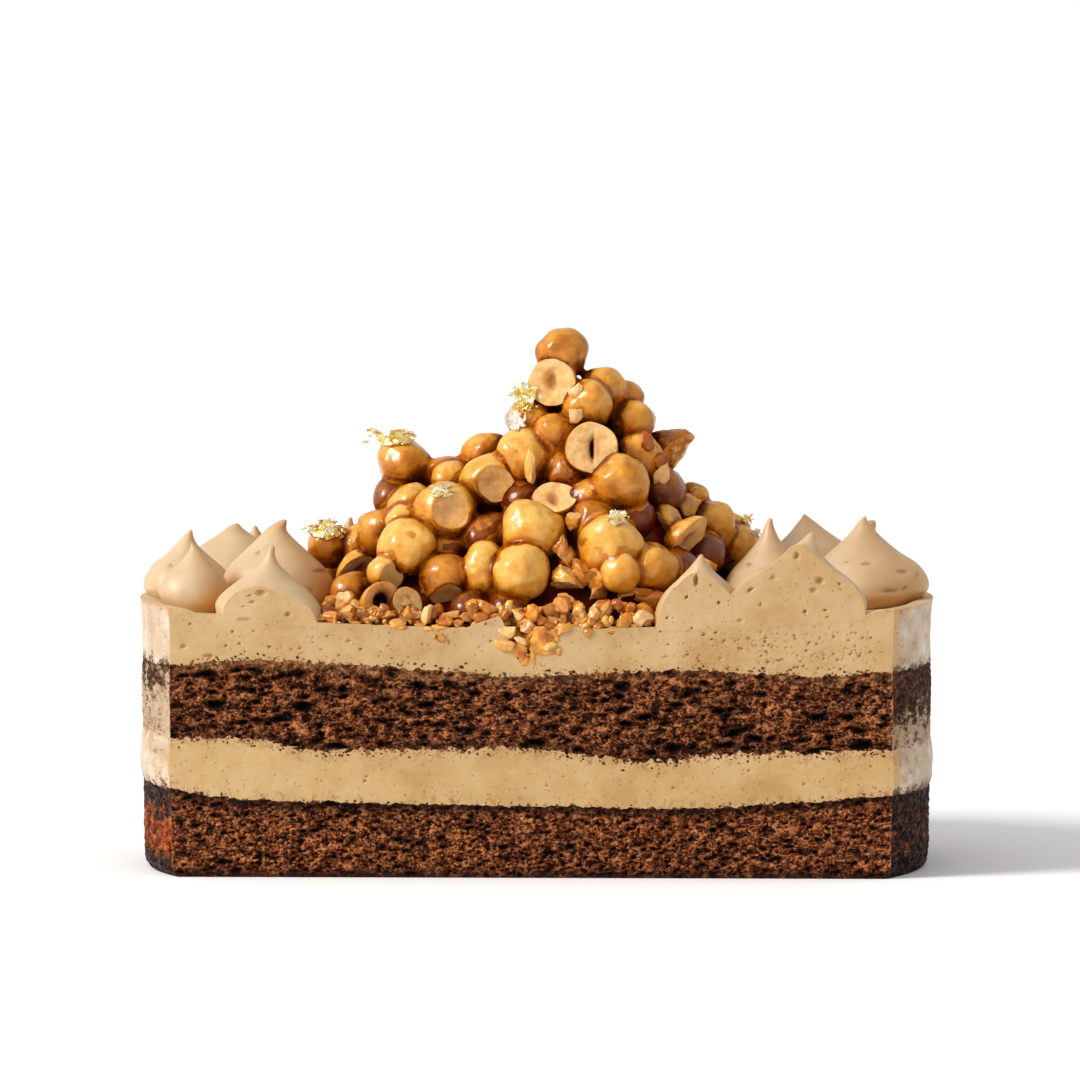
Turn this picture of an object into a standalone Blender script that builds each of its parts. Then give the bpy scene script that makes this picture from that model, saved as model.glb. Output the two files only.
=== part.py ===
"""Coffee hazelnut mousse cake: a round layer cake with a straight piece cut off its front.

Bottom to top: chocolate sponge, coffee mousse, chocolate sponge, coffee mousse. On the top stand piped
mousse kisses round a heap of caramel hazelnuts. Sizes are in millimetres until the meshes are made. The
origin is the centre of the round cake on its flat base, +X runs along the cut, the cut faces -Y and +Z is up.
"""

import math
import random

import bmesh
import bpy
from mathutils import Vector, noise

MM = 0.001
GAP = 0.35  # space kept between touching pieces

# The round cake and its cut
CAKE_RADIUS = 100.8
CUT_DISTANCE = 42.0  # from the centre of the round to the cut face
ARC_STEPS = 34
CUT_STEPS = 18
BODY_SCALE = 0.90  # layers are flat inside the outline drawn at this scale

# Heights of the layer boundaries: (x along the cut, height)
LOWER_SPONGE_TOP = [(-92, 22.6), (-78, 20.4), (-50, 19.2), (0, 18.4), (40, 17.9), (67, 19.4), (90, 21.2)]
MIDDLE_MOUSSE_TOP = [(-92, 35.4), (-68, 35.2), (-58, 32.6), (-5, 33.1), (16, 31.0), (31, 29.4), (48, 31.6),
                     (90, 32.8)]
UPPER_SPONGE_TOP = [(-92, 53.8), (-76, 55.2), (-55, 55.0), (-28, 53.2), (-3, 51.3), (40, 53.0), (72, 51.4),
                    (92, 52.8)]
FLAT_HEIGHTS = {"lower_sponge": 19.0, "middle_mousse": 33.0, "upper_sponge": 53.0}

# The top of the cake: a shallow round bowl with a raised lip at the rim
TOP_CENTRE_HEIGHT = 62.7
BOWL_RISE = 4.0  # from the centre out to the bowl's radius
BOWL_RADIUS = 90.0
LIP_RISE = 2.0
LIP_FOOT_RADIUS = 92.5
LIP_CREST_RADIUS = 98.8

# A torn notch in the front edge of the top mousse, where nut pieces sank in
NOTCH_X = -2.0
NOTCH_HALF_WIDTH = 8.0
NOTCH_DEPTH = 9.5
NOTCH_REACH = 4.5

# How the photograph sees the cake: pixels per millimetre, the pixel column of the round's centre, the pixel
# row of the cut's bottom edge, and the camera's angles
PHOTO_SCALE = 3.94
PHOTO_CENTRE_X = 536.5
PHOTO_BASE_Y = 878.5
VIEW_ELEVATION = math.radians(4.0)
VIEW_AZIMUTH = math.radians(1.9)

# Piped kisses that the photograph shows: name, x, y, radius, height, how far the tip leans along x and y, and
# fullness, from 0 with hollow flanks to 1 and more with round ones
SHOWN_KISSES = [
    ("kiss_left_front", -86.3, -22.5, 9.1, 17.2, -1.0, 0.0, 0.9),
    ("kiss_left_rim", -89.2, 3.0, 12.0, 18.8, 0.3, 0.0, 0.6),
    ("kiss_left_inner", -66.2, -8.0, 14.8, 24.0, 1.9, 0.0, 0.9),
    ("kiss_left_cut", -67.1, -35.2, 13.6, 18.6, 1.0, 0.5, 0.0),
    ("kiss_left_back", -78.4, 28.0, 14.2, 19.3, 0.0, 0.0, 1.5),
    ("kiss_left_far", -75.3, 50.0, 11.0, 16.6, 0.4, 0.0, 0.5),
    ("kiss_left_farthest", -51.3, 66.5, 13.0, 18.2, 0.6, 0.0, 0.3),
    ("kiss_right_cut_small", 43.2, -39.6, 12.3, 18.3, 0.0, 0.6, 0.7),
    ("kiss_right_cut_large", 67.8, -39.2, 17.6, 22.3, 3.6, 1.6, 0.35),
    ("kiss_right_inner", 59.8, -11.0, 14.0, 25.2, 0.4, 0.0, 0.3),
    ("kiss_right_back", 70.6, 20.0, 16.6, 23.3, -2.3, 0.0, 0.95),
    ("kiss_right_rim", 84.0, 2.0, 16.9, 23.2, 0.2, 0.0, 0.6),
    ("kiss_right_far", 83.7, 28.0, 11.6, 20.1, 2.0, 0.0, 0.5),
]
# The rest of the two rings, behind the heap: ring radius, first and last angle, count, and the radius,
# height and fullness of its kisses
BACK_RINGS = [
    ("kiss_outer", 85.2, 39.0, 110.0, 5, 12.7, 18.4, 0.4),
    ("kiss_inner", 62.8, 41.0, 139.0, 5, 12.2, 18.6, 0.6),
]
KISS_SIDES = 11
KISS_SEAT = 0.5  # from the cake's top up to a kiss's foot
# Half-sections of a kiss: share of its height, share of its radius
HOLLOW_KISS = [(0.0, 0.86), (0.12, 1.0), (0.27, 0.92), (0.47, 0.64), (0.62, 0.36), (0.78, 0.14), (1.0, 0.0)]
FULL_KISS = [(0.0, 0.88), (0.15, 1.0), (0.33, 0.98), (0.50, 0.83), (0.65, 0.58), (0.82, 0.28), (1.0, 0.0)]
KISS_LEVELS = (0.0, 0.14, 0.31, 0.48, 0.64, 0.80)

# The heap: (x, height of the topmost nut centres above the middle of the cake's top)
RIDGE = [(-64, 3), (-54, 12), (-45, 15), (-40, 25), (-37, 35), (-30, 40), (-15, 43), (-4, 50), (2, 60),
         (7.5, 67.6), (14, 65), (24, 57), (30, 50), (36, 40), (43, 27), (52, 21), (62, 3)]
RIDGE_Y = 0.0
FRONT_REACH = 37.0
BACK_REACH = 44.0
CORE_DROP = 4.2  # the core lies this far under the nut centres
BED_HEIGHT = 1.6  # crumbs and caramel under the nuts
BED_RADII = (57.0, 43.0)
BED_CENTRE = (-3.0, -1.0)
BED_FRONT_Y = -40.6
CORE_SIDES = 30
CORE_PEAK_X = 7.0
CORE_RINGS = [1.0, 0.93, 0.74, 0.50, 0.26]
KISS_CLEARANCE = 1.2  # between the heap and the kisses

# Nuts that the photograph shows: name, pixel column and row of the centre, width in pixels, kind, the way
# that a cut face looks (right, up, towards the viewer), and how far behind the heap's surface the nut lies
SHOWN_NUTS = [
    ("peak", 564, 355, 48, "whole", None, 0.0),
    ("peak_half", 552, 381, 50, "half", (-0.25, -0.05, 1.0), -4.0),
    ("peak_right", 603, 388, 46, "whole", None, 1.0),
    ("high_right", 626, 399, 40, "whole", None, 6.0),
    ("below_peak", 588, 404, 50, "whole", None, -1.0),
    ("gold_side", 530, 421, 50, "whole", None, 1.0),
    ("amber", 556, 434, 42, "whole", None, 1.0),
    ("right_upper", 634, 421, 44, "whole", None, 1.0),
    ("split_half", 592, 448, 54, "half", (0.05, 0.05, 1.0), -4.0),
    ("right_middle", 638, 456, 50, "whole", None, 2.0),
    ("right_shard", 672, 449, 46, "chunk", None, 2.0),
    ("round_front", 622, 482, 57, "whole", None, -4.0),
    ("long_centre", 527, 455, 56, "whole", None, 0.0),
    ("left_shaved", 491, 480, 57, "shaved", (0.2, -0.1, 1.0), -1.0),
    ("left_ridge", 482, 454, 44, "whole", None, 4.0),
    ("left_slope", 450, 482, 44, "whole", None, 4.0),
    ("big_half", 446, 512, 61, "shaved", (0.3, 0.1, 1.0), -3.0),
    ("gold_corner", 402, 463, 54, "whole", None, 4.0),
    ("under_corner", 390, 497, 40, "whole", None, 3.0),
    ("web", 447, 475, 40, "whole", None, 6.0),
    ("left_small", 410, 505, 44, "whole", None, 1.0),
    ("double_left", 405, 545, 60, "whole", None, -2.0),
    ("gold_far", 325, 547, 44, "whole", None, 3.0),
    ("left_behind", 360, 546, 42, "whole", None, 3.0),
    ("pair_left", 358, 573, 46, "half", (0.4, -0.5, 0.8), -1.0),
    ("pair_right", 385, 573, 38, "half", (0.5, -0.2, 0.9), -2.0),
    ("hollow", 382, 606, 42, "half", (0.5, 0.0, 0.85), -1.5),
    ("pale_half", 406, 604, 34, "half", (0.5, 0.3, 0.8), 0.0),
    ("front_left", 344, 611, 34, "chunk", None, 0.0),
    ("shaded", 446, 582, 54, "half", (0.1, -0.7, 0.7), 2.0),
    ("front_centre", 532, 531, 60, "whole", None, -2.0),
    ("front_round", 520, 572, 58, "whole", None, -3.0),
    ("front_pair", 486, 573, 50, "whole", None, 0.5),
    ("shadow_amber", 486, 541, 54, "whole", None, 5.0),
    ("cup_half", 555, 499, 46, "half", (0.0, 0.8, 0.6), -1.0),
    ("middle_small", 588, 499, 40, "whole", None, 2.0),
    ("middle_shadow", 566, 472, 42, "whole", None, 5.0),
    ("brown", 595, 524, 50, "whole", None, 1.0),
    ("cluster", 611, 546, 60, "whole", None, -3.0),
    ("cluster_lobe", 620, 574, 40, "whole", None, -4.0),
    ("front_right", 652, 569, 54, "whole", None, 0.0),
    ("right_half", 687, 541, 46, "half", (0.7, -0.5, 0.5), -1.0),
    ("right_chip", 669, 519, 32, "chunk", None, 0.0),
    ("right_chip_high", 691, 502, 34, "chunk", None, 1.0),
    ("right_round", 713, 525, 50, "whole", None, 3.0),
    ("right_low", 738, 548, 48, "whole", None, 12.0),
    ("right_behind", 728, 531, 44, "whole", None, 12.0),
    ("right_brown", 694, 500, 38, "whole", None, 8.0),
    ("right_shadow", 662, 489, 50, "whole", None, 5.0),
    ("low_right_chip", 703, 564, 28, "chunk", None, 0.0),
    ("chip_upper", 570, 559, 28, "chunk", None, 1.0),
    ("chip_middle", 569, 582, 36, "chunk", None, 0.0),
    ("chip_long", 596, 593, 34, "chunk", None, 0.0),
    ("chip_square", 563, 606, 25, "chunk", None, 0.0),
    ("chip_tall", 604, 607, 22, "chunk", None, 0.0),
    ("chip_right", 625, 620, 22, "chunk", None, 0.0),
    ("chip_end", 644, 617, 22, "chunk", None, 0.0),
    ("chip_flat", 652, 601, 30, "chunk", None, 2.0),
]
# The nuts that fill the rest of the heap
FILL_SEED = 7
FILL_TRIES = 2600
FILL_RADIUS = (6.0, 7.2)
FILL_SPACING = 0.86  # closest distance of two nuts, as a share of touching
# Crumbs between the heap and the cut edge
CRUMB_SEED = 21
CRUMB_COUNT = 14
CRUMB_RADIUS = (1.3, 2.3)
CRUMB_X = (-33.0, 27.0)
CRUMB_Y = (-39.4, -33.0)

COLOURS = {
    "sponge": ((0.085, 0.036, 0.020), 0.95),
    "mousse": ((0.66, 0.44, 0.24), 0.55),
    "nut": ((0.60, 0.29, 0.07), 0.25),
}


def clear_scene():
    for thing in list(bpy.data.objects):
        bpy.data.objects.remove(thing)


def make_material(name):
    colour, roughness = COLOURS[name]
    material = bpy.data.materials.new(name)
    material.use_nodes = True
    shader = material.node_tree.nodes["Principled BSDF"]
    shader.inputs["Base Color"].default_value = (*colour, 1.0)
    shader.inputs["Roughness"].default_value = roughness
    shader.inputs["Metallic"].default_value = 0.0
    return material


def add_object(name, shape, material, collection=None):
    """Turns a bmesh in millimetres into a named object in metres."""
    bmesh.ops.scale(shape, vec=(MM, MM, MM), verts=shape.verts)
    bmesh.ops.recalc_face_normals(shape, faces=shape.faces)
    mesh = bpy.data.meshes.new(name)
    shape.to_mesh(mesh)
    shape.free()
    mesh.materials.append(material)
    thing = bpy.data.objects.new(name, mesh)
    (collection or bpy.context.scene.collection).objects.link(thing)
    return thing


def smoothstep(low, high, value):
    share = min(1.0, max(0.0, (value - low) / (high - low)))
    return share * share * (3.0 - 2.0 * share)


def along(points, x):
    """Height at x of a line through the points, level beyond its ends."""
    if x <= points[0][0]:
        return points[0][1]
    for (x0, z0), (x1, z1) in zip(points, points[1:]):
        if x <= x1:
            return z0 + (z1 - z0) * (x - x0) / (x1 - x0)
    return points[-1][1]


# Layers

def outline():
    """Points round the cake, anticlockwise from the cut's right end, and whether each is inside the cut."""
    corner = math.asin(CUT_DISTANCE / CAKE_RADIUS)
    sweep = math.pi + 2.0 * corner
    points = []
    for step in range(ARC_STEPS + 1):
        angle = -corner + sweep * step / ARC_STEPS
        points.append((CAKE_RADIUS * math.cos(angle), CAKE_RADIUS * math.sin(angle), False))
    half_cut = CAKE_RADIUS * math.cos(corner)
    for step in range(1, CUT_STEPS):
        points.append((-half_cut + 2.0 * half_cut * step / CUT_STEPS, -CUT_DISTANCE, True))
    return points


def notch(x):
    """Depth of the torn notch at x on the cut edge."""
    return NOTCH_DEPTH * max(0.0, 1.0 - abs(x - NOTCH_X) / NOTCH_HALF_WIDTH)


def cake_top(x, y):
    """Height of the top mousse's surface, without the notch."""
    away = math.hypot(x, y)
    bowl = BOWL_RISE * (min(away, BOWL_RADIUS) / BOWL_RADIUS) ** 2
    return TOP_CENTRE_HEIGHT + bowl + LIP_RISE * smoothstep(LIP_FOOT_RADIUS, LIP_CREST_RADIUS, away)


def boundary(points, flat):
    """A layer boundary: wavy at the outline, flat inside."""
    def height(x, y, scale):
        share = (scale - BODY_SCALE) / (1.0 - BODY_SCALE)
        return flat + (along(points, x) - flat) * max(0.0, share)
    return height


def base_height(x, y, scale):
    return 0.0


def top_height(x, y, scale):
    return cake_top(x, y) - notch(x) * (1.0 - smoothstep(0.0, NOTCH_REACH, CUT_DISTANCE + y))


def crag(x, z, depth, size):
    """Crumb relief of a cut sponge: how far the surface lies inside the cut plane."""
    value = noise.noise(Vector((x / size, 3.7, z / size * 1.6)))
    return depth * (0.35 + 0.65 * value)


def make_layer(name, material, bottom, top, rows, bulge, relief, top_scales=(BODY_SCALE,)):
    """A closed slab of the cake's outline, with the wall's offset at each share of its height."""
    shape = bmesh.new()
    ring_points = outline()
    rings = []
    foot_gap = 0.0 if bottom is base_height else GAP / 2.0
    head_gap = 0.0 if top is top_height else GAP / 2.0
    for share, offset in zip(rows, bulge):
        ring = []
        for x, y, in_cut in ring_points:
            low = bottom(x, y, 1.0) + foot_gap
            z = low + (top(x, y, 1.0) - head_gap - low) * share
            if in_cut:
                inner = 0.0 < share < 1.0
                ring.append(shape.verts.new((x, y + (crag(x, z, *relief) if inner else 0.0), z)))
            else:
                grow = (CAKE_RADIUS + offset) / CAKE_RADIUS
                at_corner = abs(y + CUT_DISTANCE) < 0.01
                ring.append(shape.verts.new((x * grow, y if at_corner else y * grow, z)))
        rings.append(ring)
    rings.insert(0, inner_ring(shape, ring_points, BODY_SCALE, bottom, foot_gap))
    for scale in top_scales:
        rings.append(inner_ring(shape, ring_points, scale, top, -head_gap))
    for lower, upper in zip(rings, rings[1:]):
        for index in range(len(ring_points)):
            after = (index + 1) % len(ring_points)
            shape.faces.new((lower[index], lower[after], upper[after], upper[index]))
    shape.faces.new(list(reversed(rings[0])))
    shape.faces.new(rings[-1])
    bmesh.ops.triangulate(shape, faces=shape.faces)
    return add_object(name, shape, material)


def inner_ring(shape, ring_points, scale, height, lift):
    """Points of the outline drawn smaller, on a layer's lower or upper surface."""
    ring = []
    for x, y, _ in ring_points:
        ring.append(shape.verts.new((x * scale, y * scale, height(x * scale, y * scale, scale) + lift)))
    return ring


def make_layers(sponge, mousse):
    lower_top = boundary(LOWER_SPONGE_TOP, FLAT_HEIGHTS["lower_sponge"])
    middle_top = boundary(MIDDLE_MOUSSE_TOP, FLAT_HEIGHTS["middle_mousse"])
    upper_top = boundary(UPPER_SPONGE_TOP, FLAT_HEIGHTS["upper_sponge"])
    make_layer("lower_sponge", sponge, base_height, lower_top,
               rows=(0.0, 0.14, 0.55, 1.0), bulge=(-2.0, -0.5, -0.3, -0.1), relief=(0.9, 5.0))
    make_layer("middle_mousse", mousse, lower_top, middle_top,
               rows=(0.0, 0.5, 1.0), bulge=(0.2, 0.9, 0.4), relief=(0.25, 14.0))
    make_layer("upper_sponge", sponge, middle_top, upper_top,
               rows=(0.0, 0.35, 0.7, 1.0), bulge=(-0.1, -0.5, -0.5, -0.1), relief=(1.3, 5.0))
    make_layer("top_mousse", mousse, upper_top, top_height,
               rows=(0.0, 0.5, 1.0), bulge=(0.1, 0.1, 0.9), relief=(0.2, 14.0),
               top_scales=(0.98, 0.935, 0.80, 0.62, 0.42, 0.20))


# Kisses

def all_kisses():
    kisses = list(SHOWN_KISSES)
    for name, ring, first, last, count, radius, height, full in BACK_RINGS:
        for index in range(count):
            angle = math.radians(first + (last - first) * index / (count - 1))
            place = (ring * math.cos(angle), ring * math.sin(angle))
            grow = 1.0 + 0.05 * math.sin(2.3 * index)
            shape = (radius * grow, height / grow, 0.6 * math.cos(index), 0.4, full)
            kisses.append((f"{name}_{index + 1}", *place, *shape))
    return kisses


def kiss_share(up, full):
    """Share of a kiss's radius at a share of its height."""
    hollow = along(HOLLOW_KISS, up)
    return hollow + (along(FULL_KISS, up) - hollow) * full


def trim(shape, point, outward):
    """Cuts away what lies past a plane and closes the cut."""
    geometry = shape.verts[:] + shape.edges[:] + shape.faces[:]
    bmesh.ops.bisect_plane(shape, geom=geometry, plane_co=point, plane_no=outward, clear_outer=True)
    rim = [edge for edge in shape.edges if edge.is_boundary]
    if rim:
        bmesh.ops.triangle_fill(shape, edges=rim, use_beauty=True)


def pressed_planes(kiss, kisses):
    """Planes where a kiss presses flat against its neighbours, halfway through each overlap."""
    _, x, y, radius, *_ = kiss
    planes = []
    for _, other_x, other_y, other_radius, *_ in kisses:
        apart = math.hypot(other_x - x, other_y - y)
        if 0.0 < apart < radius + other_radius + GAP:
            reach = (apart * apart + radius * radius - other_radius * other_radius) / (2.0 * apart) - GAP / 2
            way = Vector(((other_x - x) / apart, (other_y - y) / apart, 0.0))
            planes.append((Vector((x, y, 0.0)) + way * reach, way))
    return planes


def make_kiss(kiss, kisses, material):
    name, x, y, radius, height, lean_x, lean_y, full = kiss
    shape = bmesh.new()
    rings = []
    for up in KISS_LEVELS:
        share = kiss_share(up, full)
        bend = up ** 3
        ring = []
        for side in range(KISS_SIDES):
            angle = 2.0 * math.pi * side / KISS_SIDES
            px = x + radius * share * math.cos(angle)
            py = y + radius * share * math.sin(angle)
            foot = cake_top(px, py) + KISS_SEAT
            z = foot + (cake_top(x, y) + height - foot) * up
            ring.append(shape.verts.new((px + lean_x * bend, py + lean_y * bend, z)))
        rings.append(ring)
    tip = shape.verts.new((x + lean_x, y + lean_y, cake_top(x, y) + height))
    foot = shape.verts.new((x, y, cake_top(x, y) + KISS_SEAT))
    for side in range(KISS_SIDES):
        after = (side + 1) % KISS_SIDES
        for lower, upper in zip(rings, rings[1:]):
            shape.faces.new((lower[side], lower[after], upper[after], upper[side]))
        shape.faces.new((rings[-1][side], rings[-1][after], tip))
        shape.faces.new((rings[0][after], rings[0][side], foot))
    bmesh.ops.triangulate(shape, faces=shape.faces)
    if y - radius < -CUT_DISTANCE:
        trim(shape, Vector((0.0, -CUT_DISTANCE, 0.0)), Vector((0.0, -1.0, 0.0)))
    for point, way in pressed_planes(kiss, kisses):
        trim(shape, point, way)
    return add_object(name, shape, material)


# The heap

def heap_surface(x, y):
    """Height above the middle of the top of the surface that the outermost nut centres lie on."""
    reach = FRONT_REACH if y < RIDGE_Y else BACK_REACH
    return along(RIDGE, x) * max(0.0, 1.0 - abs(y - RIDGE_Y) / reach)


def front_y(x, height):
    """Where the heap's front slope is this high above the middle of the top."""
    share = min(1.0, max(0.0, height / along(RIDGE, x)))
    return RIDGE_Y - FRONT_REACH * (1.0 - share)


def from_photo(column, row, radius, behind):
    """Place of a nut from its pixel: on the heap's front slope, or on the ridge if it is higher."""
    across = (column - PHOTO_CENTRE_X) / PHOTO_SCALE
    x, y, z = across, 0.0, 0.0
    for _ in range(12):
        depth = y + CUT_DISTANCE
        z = (PHOTO_BASE_Y - row) / PHOTO_SCALE / math.cos(VIEW_ELEVATION) - depth * math.tan(VIEW_ELEVATION)
        x = (across - y * math.sin(VIEW_AZIMUTH)) / math.cos(VIEW_AZIMUTH)
        y = 0.5 * (y + front_y(x, z - TOP_CENTRE_HEIGHT) + behind)
    return Vector((x, y, z))


def seated(place, radius, kisses):
    """Moves a nut clear of the kisses, the cut and the cake's top."""
    place = place.copy()
    for _ in range(4):
        for kiss in kisses:
            way = Vector((place.x - kiss[1], place.y - kiss[2], 0.0))
            short = kiss_reach(kiss, place.z, radius + KISS_CLEARANCE) - way.length
            if short > 0.0:
                place += way.normalized() * short
        place.y = max(place.y, -CUT_DISTANCE + radius + 0.4)
        place.z = max(place.z, cake_top(place.x, place.y) + radius + GAP)
    return place


def kiss_reach(kiss, height, size):
    """How far a ball of this size at this height must stay from a kiss's axis."""
    _, x, y, radius, tall, _, _, full = kiss
    reach = 0.0
    for step in range(17):
        up = step / 16.0
        apart = abs(height - cake_top(x, y) - tall * up)
        if apart < size:
            reach = max(reach, radius * kiss_share(up, full) + math.sqrt(size * size - apart * apart))
    return reach


def heap_nuts(kisses):
    """Every nut: place, radius, kind and the way that its cut face looks."""
    nuts = []
    for _, column, row, width, kind, facing, behind in SHOWN_NUTS:
        radius = width / 2.0 / PHOTO_SCALE
        place = seated(from_photo(column, row, radius, behind), radius, kisses)
        if facing:
            right, up, near = facing
            facing = Vector((right, -near, up)).normalized()
        nuts.append((place, radius, kind, facing))
    draw = random.Random(FILL_SEED)
    for _ in range(FILL_TRIES):
        x = draw.uniform(-60.0, 60.0)
        y = draw.uniform(-34.0, 42.0)
        radius = draw.uniform(*FILL_RADIUS)
        height = heap_surface(x, y)
        place = Vector((x, y, max(TOP_CENTRE_HEIGHT + height, cake_top(x, y) + radius + GAP)))
        if height < 2.0 or (seated(place, radius, kisses) - place).length > 0.01:
            continue
        if all((place - other).length > FILL_SPACING * (radius + size) for other, size, *_ in nuts):
            nuts.append((place, radius, "fill", None))
    return nuts


def core_height(x, y):
    return TOP_CENTRE_HEIGHT + heap_surface(x, y) - CORE_DROP


def make_core(kisses, material):
    """The heap's plain core: a bed of crumbs with a hill on it."""
    shape = bmesh.new()
    upper, lower = [], []
    for scale in CORE_RINGS:
        top_ring, foot_ring = [], []
        for side in range(CORE_SIDES):
            angle = 2.0 * math.pi * side / CORE_SIDES
            x = BED_CENTRE[0] + BED_RADII[0] * math.cos(angle) * scale
            y = BED_CENTRE[1] + BED_RADII[1] * math.sin(angle) * scale
            y = max(y, BED_FRONT_Y * (0.4 + 0.6 * scale))
            for kiss in kisses:
                way = Vector((x - kiss[1], y - kiss[2]))
                short = kiss[3] + 2.0 * KISS_CLEARANCE - way.length
                if short > 0.0:
                    x, y = Vector((x, y)) + way.normalized() * short
            floor = cake_top(x, y) + GAP
            top_ring.append(shape.verts.new((x, y, max(floor + BED_HEIGHT, core_height(x, y)))))
            foot_ring.append(shape.verts.new((x, y, floor)))
        upper.append(top_ring)
        lower.append(foot_ring)
    rings = list(reversed(lower)) + upper
    for first, second in zip(rings, rings[1:]):
        for side in range(CORE_SIDES):
            after = (side + 1) % CORE_SIDES
            shape.faces.new((first[side], first[after], second[after], second[side]))
    peak = shape.verts.new((CORE_PEAK_X, RIDGE_Y, core_height(CORE_PEAK_X, RIDGE_Y)))
    for side in range(CORE_SIDES):
        shape.faces.new((rings[-1][side], rings[-1][(side + 1) % CORE_SIDES], peak))
    shape.faces.new(list(reversed(rings[0])))
    bmesh.ops.triangulate(shape, faces=shape.faces)
    return add_object("nut_heap", shape, material)


def make_nut(index, place, radius, kind, facing, draw, collection, material):
    """A nut with few sides: round with a blunt tip, cut flat where it is a half, or a jagged chunk."""
    shape = bmesh.new()
    if kind == "fill":
        bmesh.ops.create_uvsphere(shape, u_segments=6, v_segments=4, radius=1.06)
    elif kind == "chunk":
        bmesh.ops.create_icosphere(shape, subdivisions=1, radius=1.0)
    else:
        bmesh.ops.create_uvsphere(shape, u_segments=8, v_segments=5, radius=1.04)
    tip = Vector((draw.uniform(-1, 1), draw.uniform(-1, 1), draw.uniform(0.3, 1))).normalized()
    for vert in shape.verts:
        if kind == "chunk":
            vert.co *= draw.uniform(0.75, 1.12)
        else:
            vert.co *= 1.0 + 0.10 * max(0.0, vert.co.dot(tip)) ** 6
    if facing:
        depth = 0.55 if kind == "shaved" else 0.15
        trim(shape, facing * depth, facing)
    for vert in shape.verts:
        vert.co = place + vert.co * radius
    return add_object(f"nut_{index}", shape, material, collection)


def crumbs():
    """Places and sizes of the crumbs along the cut edge."""
    draw = random.Random(CRUMB_SEED)
    found = []
    for _ in range(CRUMB_COUNT):
        radius = draw.uniform(*CRUMB_RADIUS)
        x = draw.uniform(*CRUMB_X)
        y = draw.uniform(*CRUMB_Y)
        z = cake_top(x, y) + GAP + radius * draw.uniform(1.15, 1.9)
        found.append((Vector((x, y, z)), radius))
    return found


def largest_shell(mesh):
    """Keeps the outer shell of a fused mesh: sealed hollows are filled and loose scraps dropped."""
    shape = bmesh.new()
    shape.from_mesh(mesh)
    left = set(shape.verts)
    shells = []
    while left:
        start = left.pop()
        shell, queue = {start}, [start]
        while queue:
            for edge in queue.pop().link_edges:
                for vert in edge.verts:
                    if vert in left:
                        left.remove(vert)
                        shell.add(vert)
                        queue.append(vert)
        shells.append(shell)
    keep = max(shells, key=len)
    bmesh.ops.delete(shape, geom=[vert for vert in shape.verts if vert not in keep], context="VERTS")
    bmesh.ops.dissolve_degenerate(shape, dist=1e-6, edges=shape.edges)
    bmesh.ops.triangulate(shape, faces=shape.faces)
    shape.to_mesh(mesh)
    shape.free()


def make_heap(kisses, material):
    core = make_core(kisses, material)
    pieces = bpy.data.collections.new("heap_pieces")
    bpy.context.scene.collection.children.link(pieces)
    draw = random.Random(FILL_SEED)
    for index, (place, radius, kind, facing) in enumerate(heap_nuts(kisses)):
        make_nut(index, place, radius, kind, facing, draw, pieces, material)
    for index, (place, radius) in enumerate(crumbs()):
        make_nut(1000 + index, place, radius, "chunk", None, draw, pieces, material)
    union = core.modifiers.new("join", "BOOLEAN")
    union.operation = "UNION"
    union.operand_type = "COLLECTION"
    union.collection = pieces
    union.solver = "MANIFOLD"
    joined = bpy.data.meshes.new_from_object(core.evaluated_get(bpy.context.evaluated_depsgraph_get()))
    core.modifiers.clear()
    core.data = joined
    largest_shell(joined)
    for piece in list(pieces.objects):
        bpy.data.objects.remove(piece)
    bpy.data.collections.remove(pieces)
    return core


def main():
    clear_scene()
    sponge = make_material("sponge")
    mousse = make_material("mousse")
    nut = make_material("nut")
    make_layers(sponge, mousse)
    kisses = all_kisses()
    for kiss in kisses:
        piece = make_kiss(kiss, kisses, mousse)
        piece.data.shade_smooth()
        piece.data.set_sharp_from_angle(angle=math.radians(50))
    make_heap(kisses, nut)


main()
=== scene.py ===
"""Looks of the coffee hazelnut mousse cake: crumb, mousse, piped kisses, caramel hazelnuts and gold leaf.

Sizes are in millimetres, in the frame of the cake: the origin is the centre of the round on its base, the cut
faces -Y and +Z is up. Meshes are scaled to metres as they are made.
"""

import math
import random

import bmesh
import bpy
import numpy as np
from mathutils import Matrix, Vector, noise
from mathutils.bvhtree import BVHTree


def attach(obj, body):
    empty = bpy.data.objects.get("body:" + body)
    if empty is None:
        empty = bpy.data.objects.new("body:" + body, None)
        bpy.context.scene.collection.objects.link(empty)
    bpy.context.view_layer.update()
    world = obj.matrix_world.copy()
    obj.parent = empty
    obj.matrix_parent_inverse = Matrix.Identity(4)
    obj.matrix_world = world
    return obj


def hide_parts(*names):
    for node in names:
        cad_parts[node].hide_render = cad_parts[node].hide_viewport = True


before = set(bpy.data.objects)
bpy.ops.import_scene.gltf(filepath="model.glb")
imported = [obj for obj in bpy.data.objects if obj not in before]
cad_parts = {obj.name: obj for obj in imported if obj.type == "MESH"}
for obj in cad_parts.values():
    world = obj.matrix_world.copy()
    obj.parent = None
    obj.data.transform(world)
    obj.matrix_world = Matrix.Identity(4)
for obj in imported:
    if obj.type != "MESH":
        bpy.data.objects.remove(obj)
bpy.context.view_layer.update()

MM = 0.001

# The round cake and its cut
CAKE_RADIUS = 100.8
CUT_DISTANCE = 42.0
BODY_SCALE = 0.90

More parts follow.
